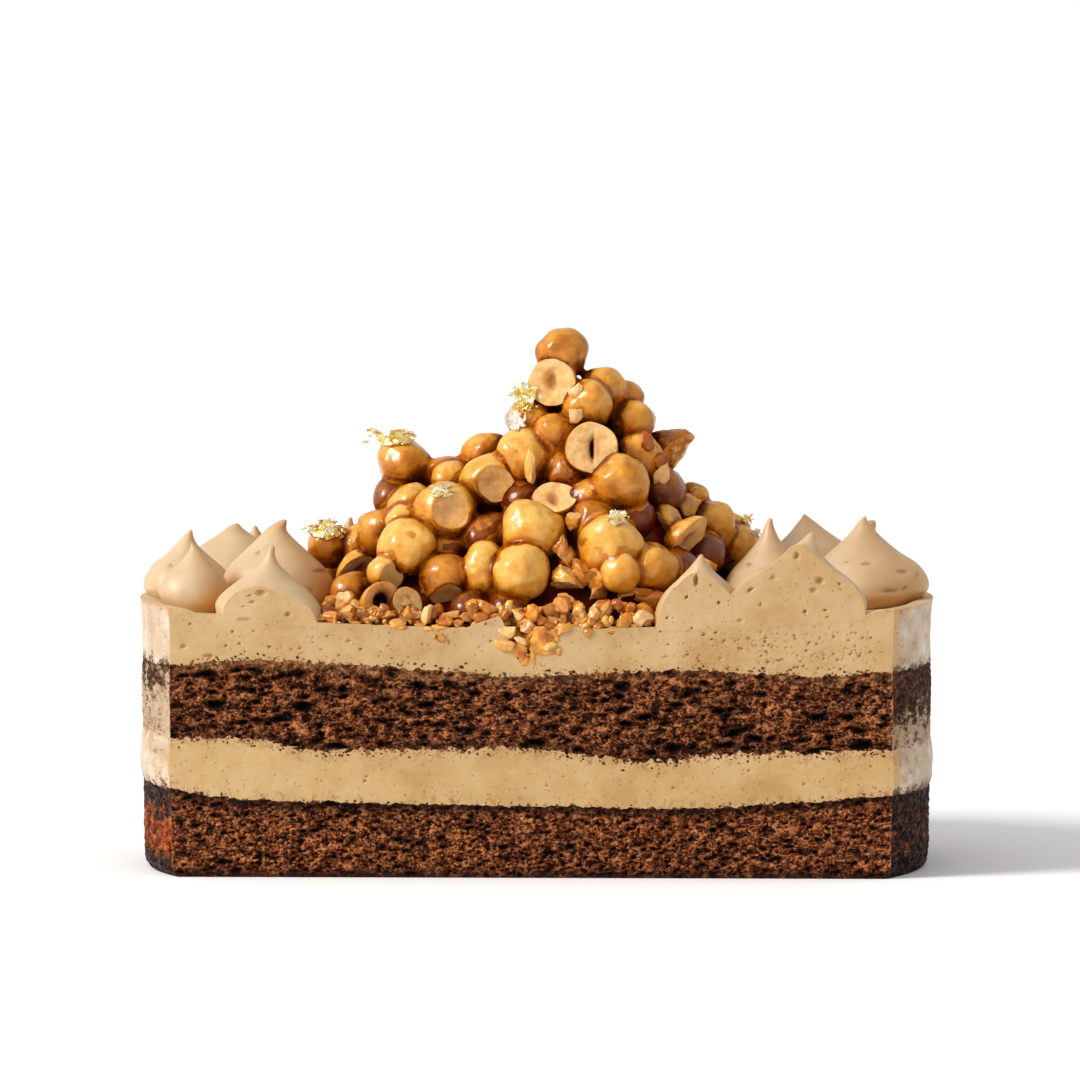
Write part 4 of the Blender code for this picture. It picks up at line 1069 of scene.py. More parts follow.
def shape_section(name, points, chain_points):
    """Moves a cut kiss's points near the knife so that its section has the outline of the photograph."""
    outline_points = np.array([cut_place(column, row) for column, row in CUT_OUTLINES[name]])
    centre_x = next(kiss[1] for kiss in KISSES if kiss[0] == name)
    centre = np.array([centre_x, cake_top(centre_x, -CUT_DISTANCE) - 1.0])

    def polar(places):
        offset = places - centre
        angles = np.arctan2(offset[:, 1], offset[:, 0])
        angles = np.where(angles < -0.5 * math.pi, angles + 2.0 * math.pi, angles)
        return angles, np.linalg.norm(offset, axis=1)

    def reach_at(places):
        angles, lengths = polar(places)
        order = np.argsort(angles)
        return lambda asked: np.interp(asked, angles[order], lengths[order])

    wanted = reach_at(outline_points)
    present = reach_at(chain_points[:, [0, 2]])
    angles, lengths = polar(points[:, [0, 2]])
    grow = wanted(angles) / present(angles)
    grow = 1.0 + (grow - 1.0) * np.clip(present(angles) / lengths, 0.0, 1.0) ** 5
    depth = np.clip((points[:, 1] + CUT_DISTANCE) / CUT_REACH, 0.0, 1.0)
    share = (1.0 - depth) ** 1.5
    moved = points.copy()
    moved[:, [0, 2]] = centre + (points[:, [0, 2]] - centre) * (1.0 + (grow - 1.0) * share)[:, None]
    return moved


def make_cut_kiss(name, points, faces, shade):
    """A kiss that the knife went through: its piped outside, and a section that joins the layer's cut."""
    shape = bmesh.new()
    layer = shape.verts.layers.float.new("shade")
    verts = [shape.verts.new(p) for p in points]
    for vert, value in zip(verts, shade):
        vert[layer] = value
    for face in faces:
        shape.faces.new([verts[k] for k in face])
    for share in (0.8, 0.5, 0.25, 0.08, 0.0):
        bmesh.ops.bisect_plane(shape, geom=shape.verts[:] + shape.edges[:] + shape.faces[:],
                               plane_co=Vector((0.0, -CUT_DISTANCE + share * CUT_REACH, 0.0)),
                               plane_no=(0.0, -1.0, 0.0), clear_outer=share == 0.0)
    links = {}
    for edge in shape.edges:
        first, second = edge.verts
        if edge.is_boundary and all(abs(v.co.y + CUT_DISTANCE) < 1e-4 for v in edge.verts):
            links.setdefault(first, []).append(second)
            links.setdefault(second, []).append(first)
    onward = [min((v for v, near in links.items() if len(near) == 1), key=lambda v: v.co.x)]
    chain = []
    while onward:
        chain.append(onward[0])
        onward = [v for v in links[chain[-1]] if v not in chain[-2:]]
    shape.verts.ensure_lookup_table()
    shape.verts.index_update()
    outside = np.array([v.co[:] for v in shape.verts])
    shade = np.array([v[layer] for v in shape.verts])
    all_faces = [[v.index for v in face.verts] for face in shape.faces]
    slots = [0] * len(all_faces)
    top_ids = [v.index for v in chain]
    shape.free()
    outside = shape_section(name, outside, outside[top_ids])
    top = outside[top_ids]
    width = len(top_ids)
    foot_x = np.linspace(top[0, 0], top[-1, 0], width)
    foot = np.array([(x, -CUT_DISTANCE, cake_top(x, -CUT_DISTANCE) - 1.2) for x in foot_x])
    section = np.concatenate([foot + (top - foot) * (row / SECTION_ROWS) for row in range(SECTION_ROWS)])
    depth, pit = cut_mousse_relief(section)
    section[:, 1] += depth - SECTION_STANDS.get(name, USUAL_STAND)
    first = len(outside)
    ids = [list(range(first + row * width, first + (row + 1) * width)) for row in range(SECTION_ROWS)]
    for lower, upper in zip(ids, ids[1:] + [top_ids]):
        all_faces += [[lower[k], lower[k + 1], upper[k + 1], upper[k]] for k in range(width - 1)]
    slots += [1] * (len(all_faces) - len(slots))
    ups = (outside[:, 2] - outside[:, 2].min()) / np.ptp(outside[:, 2])
    none = np.zeros(len(section))
    # shade and foot: painted shade where the kiss is closed in and at its foot
    fields = {"pit": np.append(np.zeros(len(outside)), pit), "shade": np.append(shade, none),
              "foot": np.append(1.0 - smoothstep(0.0, 0.25, ups), none),
              "crown": np.append(smoothstep(*KISS_CROWN, ups), none)}
    return new_piece(name + "_piped", np.concatenate([outside, section]), all_faces,
                     [PIPED_MOUSSE, CUT_MOUSSE], slots, fields, sharp=50)


# The heap

def heap_surface(x, y):
    """Height above the middle of the top of the surface that the outermost nut centres lie on."""
    reach = FRONT_REACH if y < RIDGE_Y else BACK_REACH
    return along(RIDGE, x) * max(0.0, 1.0 - abs(y - RIDGE_Y) / reach)


def front_y(x, height):
    """Where the heap's front slope is this high above the middle of the top."""
    share = min(1.0, max(0.0, height / along(RIDGE, x)))
    return RIDGE_Y - FRONT_REACH * (1.0 - share)


def from_photo(column, row, behind):
    """Place of a nut from its pixel: on the heap's front slope, or on the ridge if it is higher."""
    across = (column - PHOTO_CENTRE_X) / PHOTO_SCALE
    x, y, z = across, 0.0, 0.0
    for _ in range(PLACE_ROUNDS):
        depth = y + CUT_DISTANCE
        z = (PHOTO_BASE_Y - row) / PHOTO_SCALE / math.cos(VIEW_ELEVATION) - depth * math.tan(VIEW_ELEVATION)
        x = (across - y * math.sin(VIEW_AZIMUTH)) / math.cos(VIEW_AZIMUTH)
        y = 0.5 * (y + front_y(x, z - TOP_CENTRE_HEIGHT) + behind)
    return Vector((x, y, z))


def shown_nut(name, column, row, width, behind, tone, kind="whole", facing=None):
    """A nut as the photograph has it: name, place, radius, kind, the way that its cut looks, and tone."""
    if facing:
        right, up, near = facing
        facing = Vector((right, -near, up)).normalized()
    return name, from_photo(column, row, behind), width / 2.0 / PHOTO_SCALE, kind, facing, tone


def straight_share(up, full):
    """Share of a kiss's radius at a share of its height, along straight lines."""
    hollow = along(HOLLOW_KISS, up)
    return hollow + (along(FULL_KISS, up) - hollow) * full


def kiss_reach(kiss, height, size):
    """How far a ball of this size at this height must stay from a kiss's axis."""
    _, x, y, radius, tall, _, _, full = kiss
    reach = 0.0
    base = cake_top(x, y)
    for step in range(17):
        up = step / 16.0
        apart = abs(height - base - tall * up)
        if apart < size:
            reach = max(reach, radius * straight_share(up, full) + math.sqrt(size * size - apart * apart))
    return reach


def seated(place, radius, kisses):
    """Moves a nut clear of the kisses, the cut and the cake's top."""
    place = place.copy()
    for _ in range(4):
        for kiss in kisses:
            way = Vector((place.x - kiss[1], place.y - kiss[2], 0.0))
            if way.length > 1.15 * kiss[3] + radius + KISS_CLEARANCE:
                continue
            short = kiss_reach(kiss, place.z, radius + KISS_CLEARANCE) - way.length
            if short > 0.0:
                place += way.normalized() * short
        place.y = max(place.y, -CUT_DISTANCE + radius + 0.4)
        place.z = max(place.z, cake_top(place.x, place.y) + radius + GAP)
    return place


def heap_nuts(kisses):
    """Every outer nut, as shown_nut gives it, clear of what is round it."""
    nuts = []
    for entry in SHOWN_NUTS:
        name, place, radius, *rest = shown_nut(*entry)
        nuts.append((name, seated(place, radius, kisses), radius, *rest))
    draw = random.Random(FILL_SEED)
    for _ in range(FILL_TRIES):
        x = draw.uniform(*FILL_X)
        y = draw.uniform(*FILL_Y)
        radius = draw.uniform(*FILL_RADIUS)
        height = heap_surface(x, y)
        place = Vector((x, y, max(TOP_CENTRE_HEIGHT + height, cake_top(x, y) + radius + GAP)))
        if height < 2.0 or (seated(place, radius, kisses) - place).length > 0.01:
            continue
        if all((place - other[1]).length > FILL_SPACING * (radius + other[2]) for other in nuts):
            tone = 0.25 + 0.4 * abs(math.sin(12.9 * len(nuts)))
            nuts.append((f"fill_{len(nuts)}", place, radius, "whole", None, tone))
    return nuts


UNDER_SEED = 11
UNDER_TRIES = 3000
UNDER_X = (-56.0, 56.0)
UNDER_Y = (-34.0, 38.0)
UNDER_RADIUS = (5.2, 6.6)
UNDER_DROP = 5.6  # the hidden nuts lie this far under the outer ones
UNDER_SPACING = 0.74


def under_nuts(nuts, kisses):
    """Nuts of the next layer down, which fill the gaps between the outer ones."""
    found = []
    draw = random.Random(UNDER_SEED)
    for _ in range(UNDER_TRIES):
        x = draw.uniform(*UNDER_X)
        y = draw.uniform(*UNDER_Y)
        radius = draw.uniform(*UNDER_RADIUS)
        height = heap_surface(x, y) - UNDER_DROP
        if height < 0.0:
            continue
        place = Vector((x, y, max(TOP_CENTRE_HEIGHT + height, cake_top(x, y) + radius * 0.7)))
        if (seated(place, radius, kisses) - place).length > 2.0:
            continue
        if all((place - other[1]).length > UNDER_SPACING * (radius + other[2]) for other in nuts + found):
            # the hidden nuts are dark, partly painted shade in the gaps
            found.append((f"under_{len(found)}", place, radius, "whole", None, draw.uniform(0.5, 0.95)))
    return found


def ball(subdivisions):
    """Directions and faces of a ball of triangles."""
    shape = bmesh.new()
    bmesh.ops.create_icosphere(shape, subdivisions=subdivisions, radius=1.0)
    shape.verts.ensure_lookup_table()
    points = np.array([v.co[:] for v in shape.verts])
    faces = [[v.index for v in f.verts] for f in shape.faces]
    shape.free()
    return points / np.linalg.norm(points, axis=1, keepdims=True), faces


BALLS = {level: ball(level) for level in (2, 3, 4, 5)}


def random_way(draw):
    """A direction, each as likely as the next."""
    while True:
        way = np.array([draw.uniform(-1, 1) for _ in range(3)])
        size = np.linalg.norm(way)
        if 0.2 < size < 1.0:
            return way / size


# Bulges of the nuts with an odd shape: direction (right, up, towards the viewer), size and spread
BULGES = {
    "peak": [(-0.8, -0.3, 0.2, 0.12, 0.3), (0.3, 0.9, 0.0, 0.10, 0.2)],
    "double_left": [(-0.9, 0.1, 0.2, 0.12, 0.2), (0.9, 0.0, 0.2, 0.08, 0.2)],
    "gold_corner": [(0.95, -0.45, 0.0, 0.42, 0.10), (-0.5, 0.9, 0.1, 0.16, 0.10),
        (-0.2, -0.9, 0.1, 0.10, 0.3)],
    "under_corner": [(-0.1, -0.9, 0.2, 0.14, 0.2)],
    "front_centre": [(-0.45, 0.85, 0.2, 0.24, 0.15), (0.7, -0.2, 0.3, 0.10, 0.2),
        (-0.7, -0.5, 0.4, 0.06, 0.1)],
    "front_round": [(0.8, -0.5, 0.1, 0.08, 0.2)],
    "front_pair": [(0.0, 0.95, 0.1, 0.28, 0.20), (-0.1, -0.9, 0.1, 0.18, 0.25)],
    "cluster": [(0.95, -0.15, 0.2, 0.26, 0.10), (-0.75, -0.4, 0.2, 0.12, 0.15),
        (0.15, -0.25, 0.95, 0.14, 0.02), (-0.1, 0.9, 0.2, 0.10, 0.2)],
    "cluster_lobe": [(-0.1, 0.95, 0.1, 0.35, 0.25)],
    "long_centre": [(0.85, -0.35, 0.2, 0.25, 0.20), (-0.8, 0.35, 0.3, 0.18, 0.25)],
    "left_ridge": [(0.75, 0.55, 0.1, 0.30, 0.20), (-0.75, -0.5, 0.1, 0.20, 0.20)],
    "left_shaved": [(-0.85, -0.3, 0.1, 0.20, 0.25)],
    "big_half": [(0.15, -0.95, 0.2, 0.24, 0.10), (-0.8, 0.2, 0.1, 0.12, 0.2)],
    "round_front": [(0.1, 0.2, 0.9, 0.03, 0.3)],
    "right_half": [(0.6, 0.75, 0.2, 0.36, 0.15)],
    "shadow_amber": [(0.8, 0.6, 0.1, 0.25, 0.2)],
    "web": [(0.8, -0.1, 0.1, 0.4, 0.15), (-0.9, 0.3, 0.1, 0.35, 0.15)],
    "right_middle": [(0.2, -0.9, 0.1, 0.12, 0.2)],
}


FACET_EASE = 0.075  # how softly a nut's flat places run into its round ones
# Cut nuts by kind: how far from the middle the cut lies, how much caramel is on it, and the hollow in it:
# width, height, depth and how dark it is. All of them are shares of the nut's radius
CUT_DEPTHS = {"half": 0.15, "slit": 0.15, "hollow": 0.15, "shaved": 0.70}
GLAZED_CUTS = {"half": 0.12, "slit": 0.05, "hollow": 0.55, "shaved": 0.45}
CUT_HOLLOWS = {"half": (0.24, 0.42, 0.22, 0.42), "slit": (0.075, 0.44, 0.34, 1.0),
               "hollow": (0.46, 0.50, 0.60, 1.0), "shaved": (0.3, 0.2, 0.04, 0.0)}
CUT_UNEVEN = 0.4  # how much less uneven a nut with a cut face is, so that the face is an even oval


def nut_form(ways, draw, bulges, uneven):
    """Radius of a hazelnut along each direction: blunt tip, flat scar, soft lobes and fine ridges."""
    axis = random_way(draw)
    rise = ways @ axis
    form = 1.0 + 0.04 * (rise ** 2) + 0.12 * np.clip(rise, 0.0, 1.0) ** 10
    form -= 0.08 * smoothstep(0.78, 1.0, -rise)
    for _ in range(3):
        towards = random_way(draw)
        form += draw.uniform(-0.05, 0.10) * np.exp(-(1.0 - ways @ towards) / draw.uniform(0.08, 0.25))
    side = np.cross(axis, (0.3, 0.5, 0.8))
    side /= np.linalg.norm(side)
    other = np.cross(axis, side)
    round_angle = np.arctan2(ways @ other, ways @ side)
    flank = 1.0 - rise ** 2
    form += 0.020 * np.sin(round_angle * draw.choice((3, 4, 5)) + draw.uniform(0, 6)) * flank
    form += uneven * 0.095 * noise_at(ways, 0.80, draw.uniform(0, 50))
    form += uneven * 0.030 * noise_at(ways, 0.30, draw.uniform(0, 50))
    for _ in range(2):
        past = form * (ways @ random_way(draw)) - draw.uniform(0.84, 0.92)
        form -= uneven * 0.8 * np.log1p(np.exp(past / FACET_EASE)) * FACET_EASE
    form /= form.mean()
    for right, up, near, size, spread in bulges:
        towards = np.array([right, -near, up])
        form += size * np.exp(-(1.0 - ways @ (towards / np.linalg.norm(towards))) / spread)
    return form


def cut_flat(points, towards, depth):
    """Presses everything past a plane onto it; gives the points and how far inside the cut each one is."""
    past = points @ towards - depth
    inside = np.clip(past / 0.06, 0.0, 1.0)
    return points - np.outer(np.clip(past, 0.0, None), towards), inside


def nut_body(level, draw, kind, facing, bulges=()):
    """A nut of radius 1 at the origin with its fields."""
    ways, faces = BALLS[level]
    uneven = 1.0 if facing is None else CUT_UNEVEN
    points = ways * nut_form(ways, draw, bulges, uneven)[:, None]
    flesh = np.zeros(len(points))
    hole = np.zeros(len(points))
    if kind == "chunk":
        points *= np.array([draw.uniform(0.75, 1.25), draw.uniform(0.7, 1.0), draw.uniform(0.6, 1.1)])
        for _ in range(draw.choice((3, 4, 5, 6))):
            points, inside = cut_flat(points, random_way(draw), draw.uniform(0.22, 0.62))
            flesh = np.maximum(flesh, inside)
        points += 0.11 * noise_at(points, 0.5, draw.uniform(0, 50))[:, None] * ways
        points += 0.06 * noise_at(points, 0.2, draw.uniform(0, 50))[:, None] * ways
    elif facing is not None:
        towards = np.array(facing[:])
        depth = CUT_DEPTHS[kind]
        past = points @ towards - depth
        points, flesh = cut_flat(points, towards, depth)
        flesh *= 1.0 - 0.60 * (1.0 - smoothstep(0.03, 0.45 * (1.0 - depth), past))
        across = np.cross(towards, (0.0, 0.0, 1.0))
        across /= np.linalg.norm(across)
        upward = np.cross(across, towards)
        u = points @ across
        v = points @ upward
        wide, tall, deep, dark = CUT_HOLLOWS[kind]
        turn = draw.uniform(-0.5, 0.5)
        u, v = u * math.cos(turn) + v * math.sin(turn), v * math.cos(turn) - u * math.sin(turn)
        bent = u + 0.25 * v * v
        dent = np.exp(-((bent / wide) ** 2 + (v / tall) ** 2) ** 1.5) * flesh
        bowl = 0.12 * np.exp(-(u * u + v * v) / 0.35) * flesh
        ripple = 0.022 * noise_at(points, 0.45, draw.uniform(0, 50)) * flesh
        points = points - np.outer(deep * dent + ripple + bowl, towards)
        hole = dark * smoothstep(0.15, 0.85, dent)
        if kind == "half":
            hole = np.maximum(hole, 0.16 * np.exp(-((u / 0.62) ** 2 + (v / 0.70) ** 2) ** 2) * flesh)
        if kind == "slit":
            hole = np.maximum(hole, 0.35 * np.exp(-((u / 0.34) ** 2 + (v / 0.6) ** 2) ** 2) * flesh)
    return points, faces, flesh, hole


def film_between(points, me, everyone):
    """How much caramel lies at each point: thick where another nut is near."""
    nearest = np.full(len(points), 1e9)
    for place, radius in everyone:
        apart = (place - me[0]).length
        if 0.0 < apart < radius + me[1] + 4.0:
            gap = np.linalg.norm(points - np.array(place[:]), axis=1) - radius
            nearest = np.minimum(nearest, gap)
    return 1.0 - smoothstep(-0.6, 2.2, nearest)


NUT_DIVIDE_X = 4.0  # the nuts that show are two pieces, left and right of this

# The way that the photograph looks, and how far in front of the cut its lines of sight are followed from
VIEW_WAY = Vector((-math.sin(VIEW_AZIMUTH) * math.cos(VIEW_ELEVATION),
                   math.cos(VIEW_AZIMUTH) * math.cos(VIEW_ELEVATION), -math.sin(VIEW_ELEVATION)))
RAY_START = 200.0


def seen_at(surface, column, row):
    """Where the line of sight through a pixel meets the nuts, or nothing."""
    x, z = cut_place(column, row)
    start = Vector((x, -CUT_DISTANCE, z)) - VIEW_WAY * RAY_START
    place, _, _, _ = surface.ray_cast(start, VIEW_WAY)
    return place


SHELTER_SEED = 3
SHELTER_RAYS = 8
SHELTER_REACH = 13.0


def sheltered(surface, points, ways):
    """How closed in each point is by the nuts round it, 0 to 1; it sets the painted shade of the caramel
    nuts.
    """
    draw = random.Random(SHELTER_SEED)
    hits = np.zeros(len(points))
    for _ in range(SHELTER_RAYS):
        rays = ways * 1.15 + random_way(draw)
        rays /= np.linalg.norm(rays, axis=1, keepdims=True)
        starts = (points + rays * 0.3).tolist()
        hits += [surface.ray_cast(start, ray, SHELTER_REACH)[0] is not None
                 for start, ray in zip(starts, rays.tolist())]
    return hits / SHELTER_RAYS


def outward(points, middle):
    """Directions of unit length from the middle to each point."""
    ways = points - middle
    return ways / np.linalg.norm(ways, axis=1, keepdims=True)


def make_heap():
    everyone = OUTER_NUTS + under_nuts(OUTER_NUTS, KISSES) + [shown_nut(*entry) for entry in EXTRA_NUTS]
    balls = [(nut[1], nut[2]) for nut in everyone]
    shown = {entry[0] for entry in SHOWN_NUTS + EXTRA_NUTS}
    groups = {}
    bodies = []
    flats = []
    for index, (name, place, radius, kind, facing, tone) in enumerate(everyone):
        draw = random.Random(FIRST_NUT_SEED + index)
        middle = np.array(place[:])
        level = 3 if name not in shown else 5 if radius > FINE_RADIUS else 4
        points, faces, flesh, hole = nut_body(level, draw, kind, facing, BULGES.get(name, ()))
        points = points * radius + middle
        if not name.startswith("under"):
            floor = np.array([cake_top(x, y) for x, y in points[:, :2]])
            points[:, 2] = np.maximum(points[:, 2], floor - 0.2)
        points[:, 1] = np.maximum(points[:, 1], -CUT_DISTANCE + 0.2)
        film = film_between(points, (place, radius), balls) * (1.0 - 0.7 * flesh)
        # the hidden nuts in the gaps get thick caramel all over, partly caramel and partly painted shade in
        # the gaps
        if name.startswith("under"):
            film = np.maximum(film, 0.9)
        glazed = draw.random() if kind == "chunk" else GLAZED_CUTS.get(kind, 0.2)
        # tone: paler on each nut's upper side and darker below, partly caramel pooling low and partly painted
        # shade
        fields = {"flesh": flesh, "hole": hole, "film": film, "glazed": np.full(len(points), glazed),
                  "tone": tone - 0.16 * outward(points, middle)[:, 2]}
        if facing is not None:
            flats.append((middle, radius, np.array(facing[:]), CUT_DEPTHS[kind]))
        group = name.split("_")[0]
        if name in shown:
            group = "front_left" if place.x < NUT_DIVIDE_X else "front_right"
        groups.setdefault("hazelnuts_" + group, []).append((points, faces, fields))
        if kind != "chunk":
            bodies.append((points, faces))
    points, faces = joined(bodies)
    surface = BVHTree.FromPolygons(points.tolist(), faces)
    for group, members in groups.items():
        for body, _, fields in members:
            # painted shade between the nuts
            fields["shade"] = sheltered(surface, body, outward(body, body.mean(axis=0)))
        piece = merged(group, members, [NUT_SKIN])
        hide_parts("nut_heap")
    make_glaze(points, faces, balls, flats, surface)
    return surface


GLAZE_CELL = 0.82
GLAZE_ROUNDS = 13
GLAZE_SINK = 1.1  # the skin is left out where it lies deeper than this in a nut
CORE_SIDES = 96
CORE_RINGS = 40


def drawn_skin(points, faces):
    """Points and faces of one smooth skin over all the bodies."""
    mesh = bpy.data.meshes.new("glaze_source")
    mesh.from_pydata((points * MM).tolist(), [], faces)
    source = bpy.data.objects.new("glaze_source", mesh)
    bpy.context.scene.collection.objects.link(source)
    remesh = source.modifiers.new("skin", "REMESH")
    remesh.mode = "VOXEL"
    remesh.voxel_size = GLAZE_CELL * MM
    smooth = source.modifiers.new("drawn", "SMOOTH")
    smooth.factor = 0.5
    smooth.iterations = GLAZE_ROUNDS
    skin = source.evaluated_get(bpy.context.evaluated_depsgraph_get()).to_mesh()
    flat = np.zeros(len(skin.vertices) * 3)
    skin.vertices.foreach_get("co", flat)
    faces = [list(face.vertices) for face in skin.polygons]
    source.to_mesh_clear()
    bpy.data.objects.remove(source)
    bpy.data.meshes.remove(mesh)
    return flat.reshape(-1, 3) / MM, faces


def make_glaze(points, faces, balls, flats, surface):
    """Caramel that bridges the nuts: one skin over them all, drawn smooth so that it fills their creases."""
    points, faces = drawn_skin(points, faces)
    for centre, radius, towards, depth in flats:
        offset = points - centre
        along_way = offset @ towards
        aside = np.linalg.norm(offset - np.outer(along_way, towards), axis=1)
        rim = radius * math.sqrt(1.0 - depth * depth)
        near = smoothstep(1.04 * rim, 0.88 * rim, aside) * (np.abs(along_way - depth * radius) < 1.6)
        points = points - np.outer(1.0 * near, towards)
    nearest, second = np.full((2, len(points)), 1e9)
    ways = np.zeros((len(points), 3))
    for place, radius in balls:
        offset = points - np.array(place[:])
        apart = np.linalg.norm(offset, axis=1)
        nearer = apart - radius < nearest
        ways[nearer] = (offset / apart[:, None])[nearer]
        second = np.minimum(second, np.maximum(apart - radius, nearest))
        nearest = np.minimum(nearest, apart - radius)
    film = np.clip(1.0 - smoothstep(-0.6, 2.4, second) + 0.15, 0.0, 1.0)
    keep = nearest > -GLAZE_SINK
    used, kept = used_only([face for face in faces if any(keep[k] for k in face)])
    none = np.zeros(len(used))
    # shade: painted shade in the glaze's creases
    fields = {"flesh": none, "hole": none, "film": film[used], "tone": none + 0.5, "glazed": none,
              "shade": sheltered(surface, points[used], ways[used])}
    piece = new_piece("caramel_glaze", points[used], kept, [NUT_SKIN], fields=fields)
    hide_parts("nut_heap")


def make_core():
    """The caramel under the nuts: a puddle with a hill on it."""
    points = []
    for ring in range(CORE_RINGS + 1):
        share = 1.0 - ring / CORE_RINGS
        for side in range(CORE_SIDES):
            angle = 2.0 * math.pi * side / CORE_SIDES
            wobble = 1.0 + 0.05 * soft_noise(math.cos(angle) * 2.0, math.sin(angle) * 2.0, 3.0)
            x = -3.0 + 54.0 * math.cos(angle) * share * wobble
            y = max(-1.0 + 42.0 * math.sin(angle) * share * wobble, -CUT_DISTANCE + 1.6)
            for kiss in KISSES:
                way = Vector((x - kiss[1], y - kiss[2]))
                short = kiss[3] * 0.97 - way.length
                if short > 0.0:
                    x, y = Vector((x, y)) + way.normalized() * short
            hill = TOP_CENTRE_HEIGHT + heap_surface(x, y) - CORE_DROP
            hill += 0.8 * soft_noise(x / 5.0, y / 5.0, 1.0)
            bed = cake_top(x, y) + 0.9 * float(smoothstep(0.0, 0.06, 1.0 - share)) - 0.1
            points.append((x, y, max(bed, hill)))
    faces = ring_faces(CORE_RINGS + 1, CORE_SIDES)
    piece = new_piece("caramel_core", points, faces, [CARAMEL])
    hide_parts("nut_heap")


CRUMB_SEED = 31
CRUMB_COUNT = 250
NOTCH_CRUMBS = 34  # so many of the small crumbs lie in the notch, the others along the cut
CRUMB_SIZE = (0.8, 2.6)
FIRST_CRUMB_SEED = 5000
FIRST_CHIP_SEED = 7000
FIRST_EDGE_SEED = 8000
FINE_CHIP_WIDTH = 16  # in pixels, from which a chip along the cut gets the finer mesh
CHIP_ON_NUTS = 1.5  # chips further in front of the heap's surface than this lie on the nuts themselves
CHIP_STANDS = 0.22  # how far a chip's middle stands off the nut under it, as a share of its size
PALE_GLAZE = 0.2  # chips with less caramel than this show bare flesh all over

# Chips that the photograph shows: pixel column and row, width and height in pixels, how far in front of the
# heap's surface, how dark, and how much caramel is on it
SHOWN_CHIPS = [
    (576, 389, 17, 15, 5.6, 0.1, 0.1), (573, 412, 22, 21, 6.4, 0.0, 0.0), (531, 466, 14, 36, 7.2, 0.1, 0.3),
    (399, 606, 24, 22, 0.0, 0.3, 0.4), (627, 594, 26, 22, 0.0, 0.5, 0.8), (653, 598, 42, 15, 1.0, 0.5, 0.8),
    (662, 474, 18, 24, 3.0, 0.3, 0.4), (697, 494, 24, 18, 4.0, 0.2, 0.2), (574, 519, 18, 24, 3.0, 0.4, 0.5),
    (565, 553, 26, 38, 1.2, 0.5, 0.8), (551, 578, 24, 22, 2.0, 0.4, 0.7),
    (569, 585, 48, 36, 2.0, 0.45, 0.9), (596, 592, 48, 24, 2.0, 0.35, 0.7),
    (584, 573, 30, 30, 1.2, 0.5, 0.8), (598, 580, 26, 26, 1.4, 0.55, 0.9),
    (640, 592, 32, 20, 1.4, 0.5, 0.8), (337, 604, 36, 18, 0.0, 0.4, 0.6), (362, 592, 20, 24, 0.0, 0.4, 0.5),
    (648, 440, 16, 22, 2.0, 0.6, 0.9), (661, 462, 20, 22, 3.0, 0.7, 1.0),
]
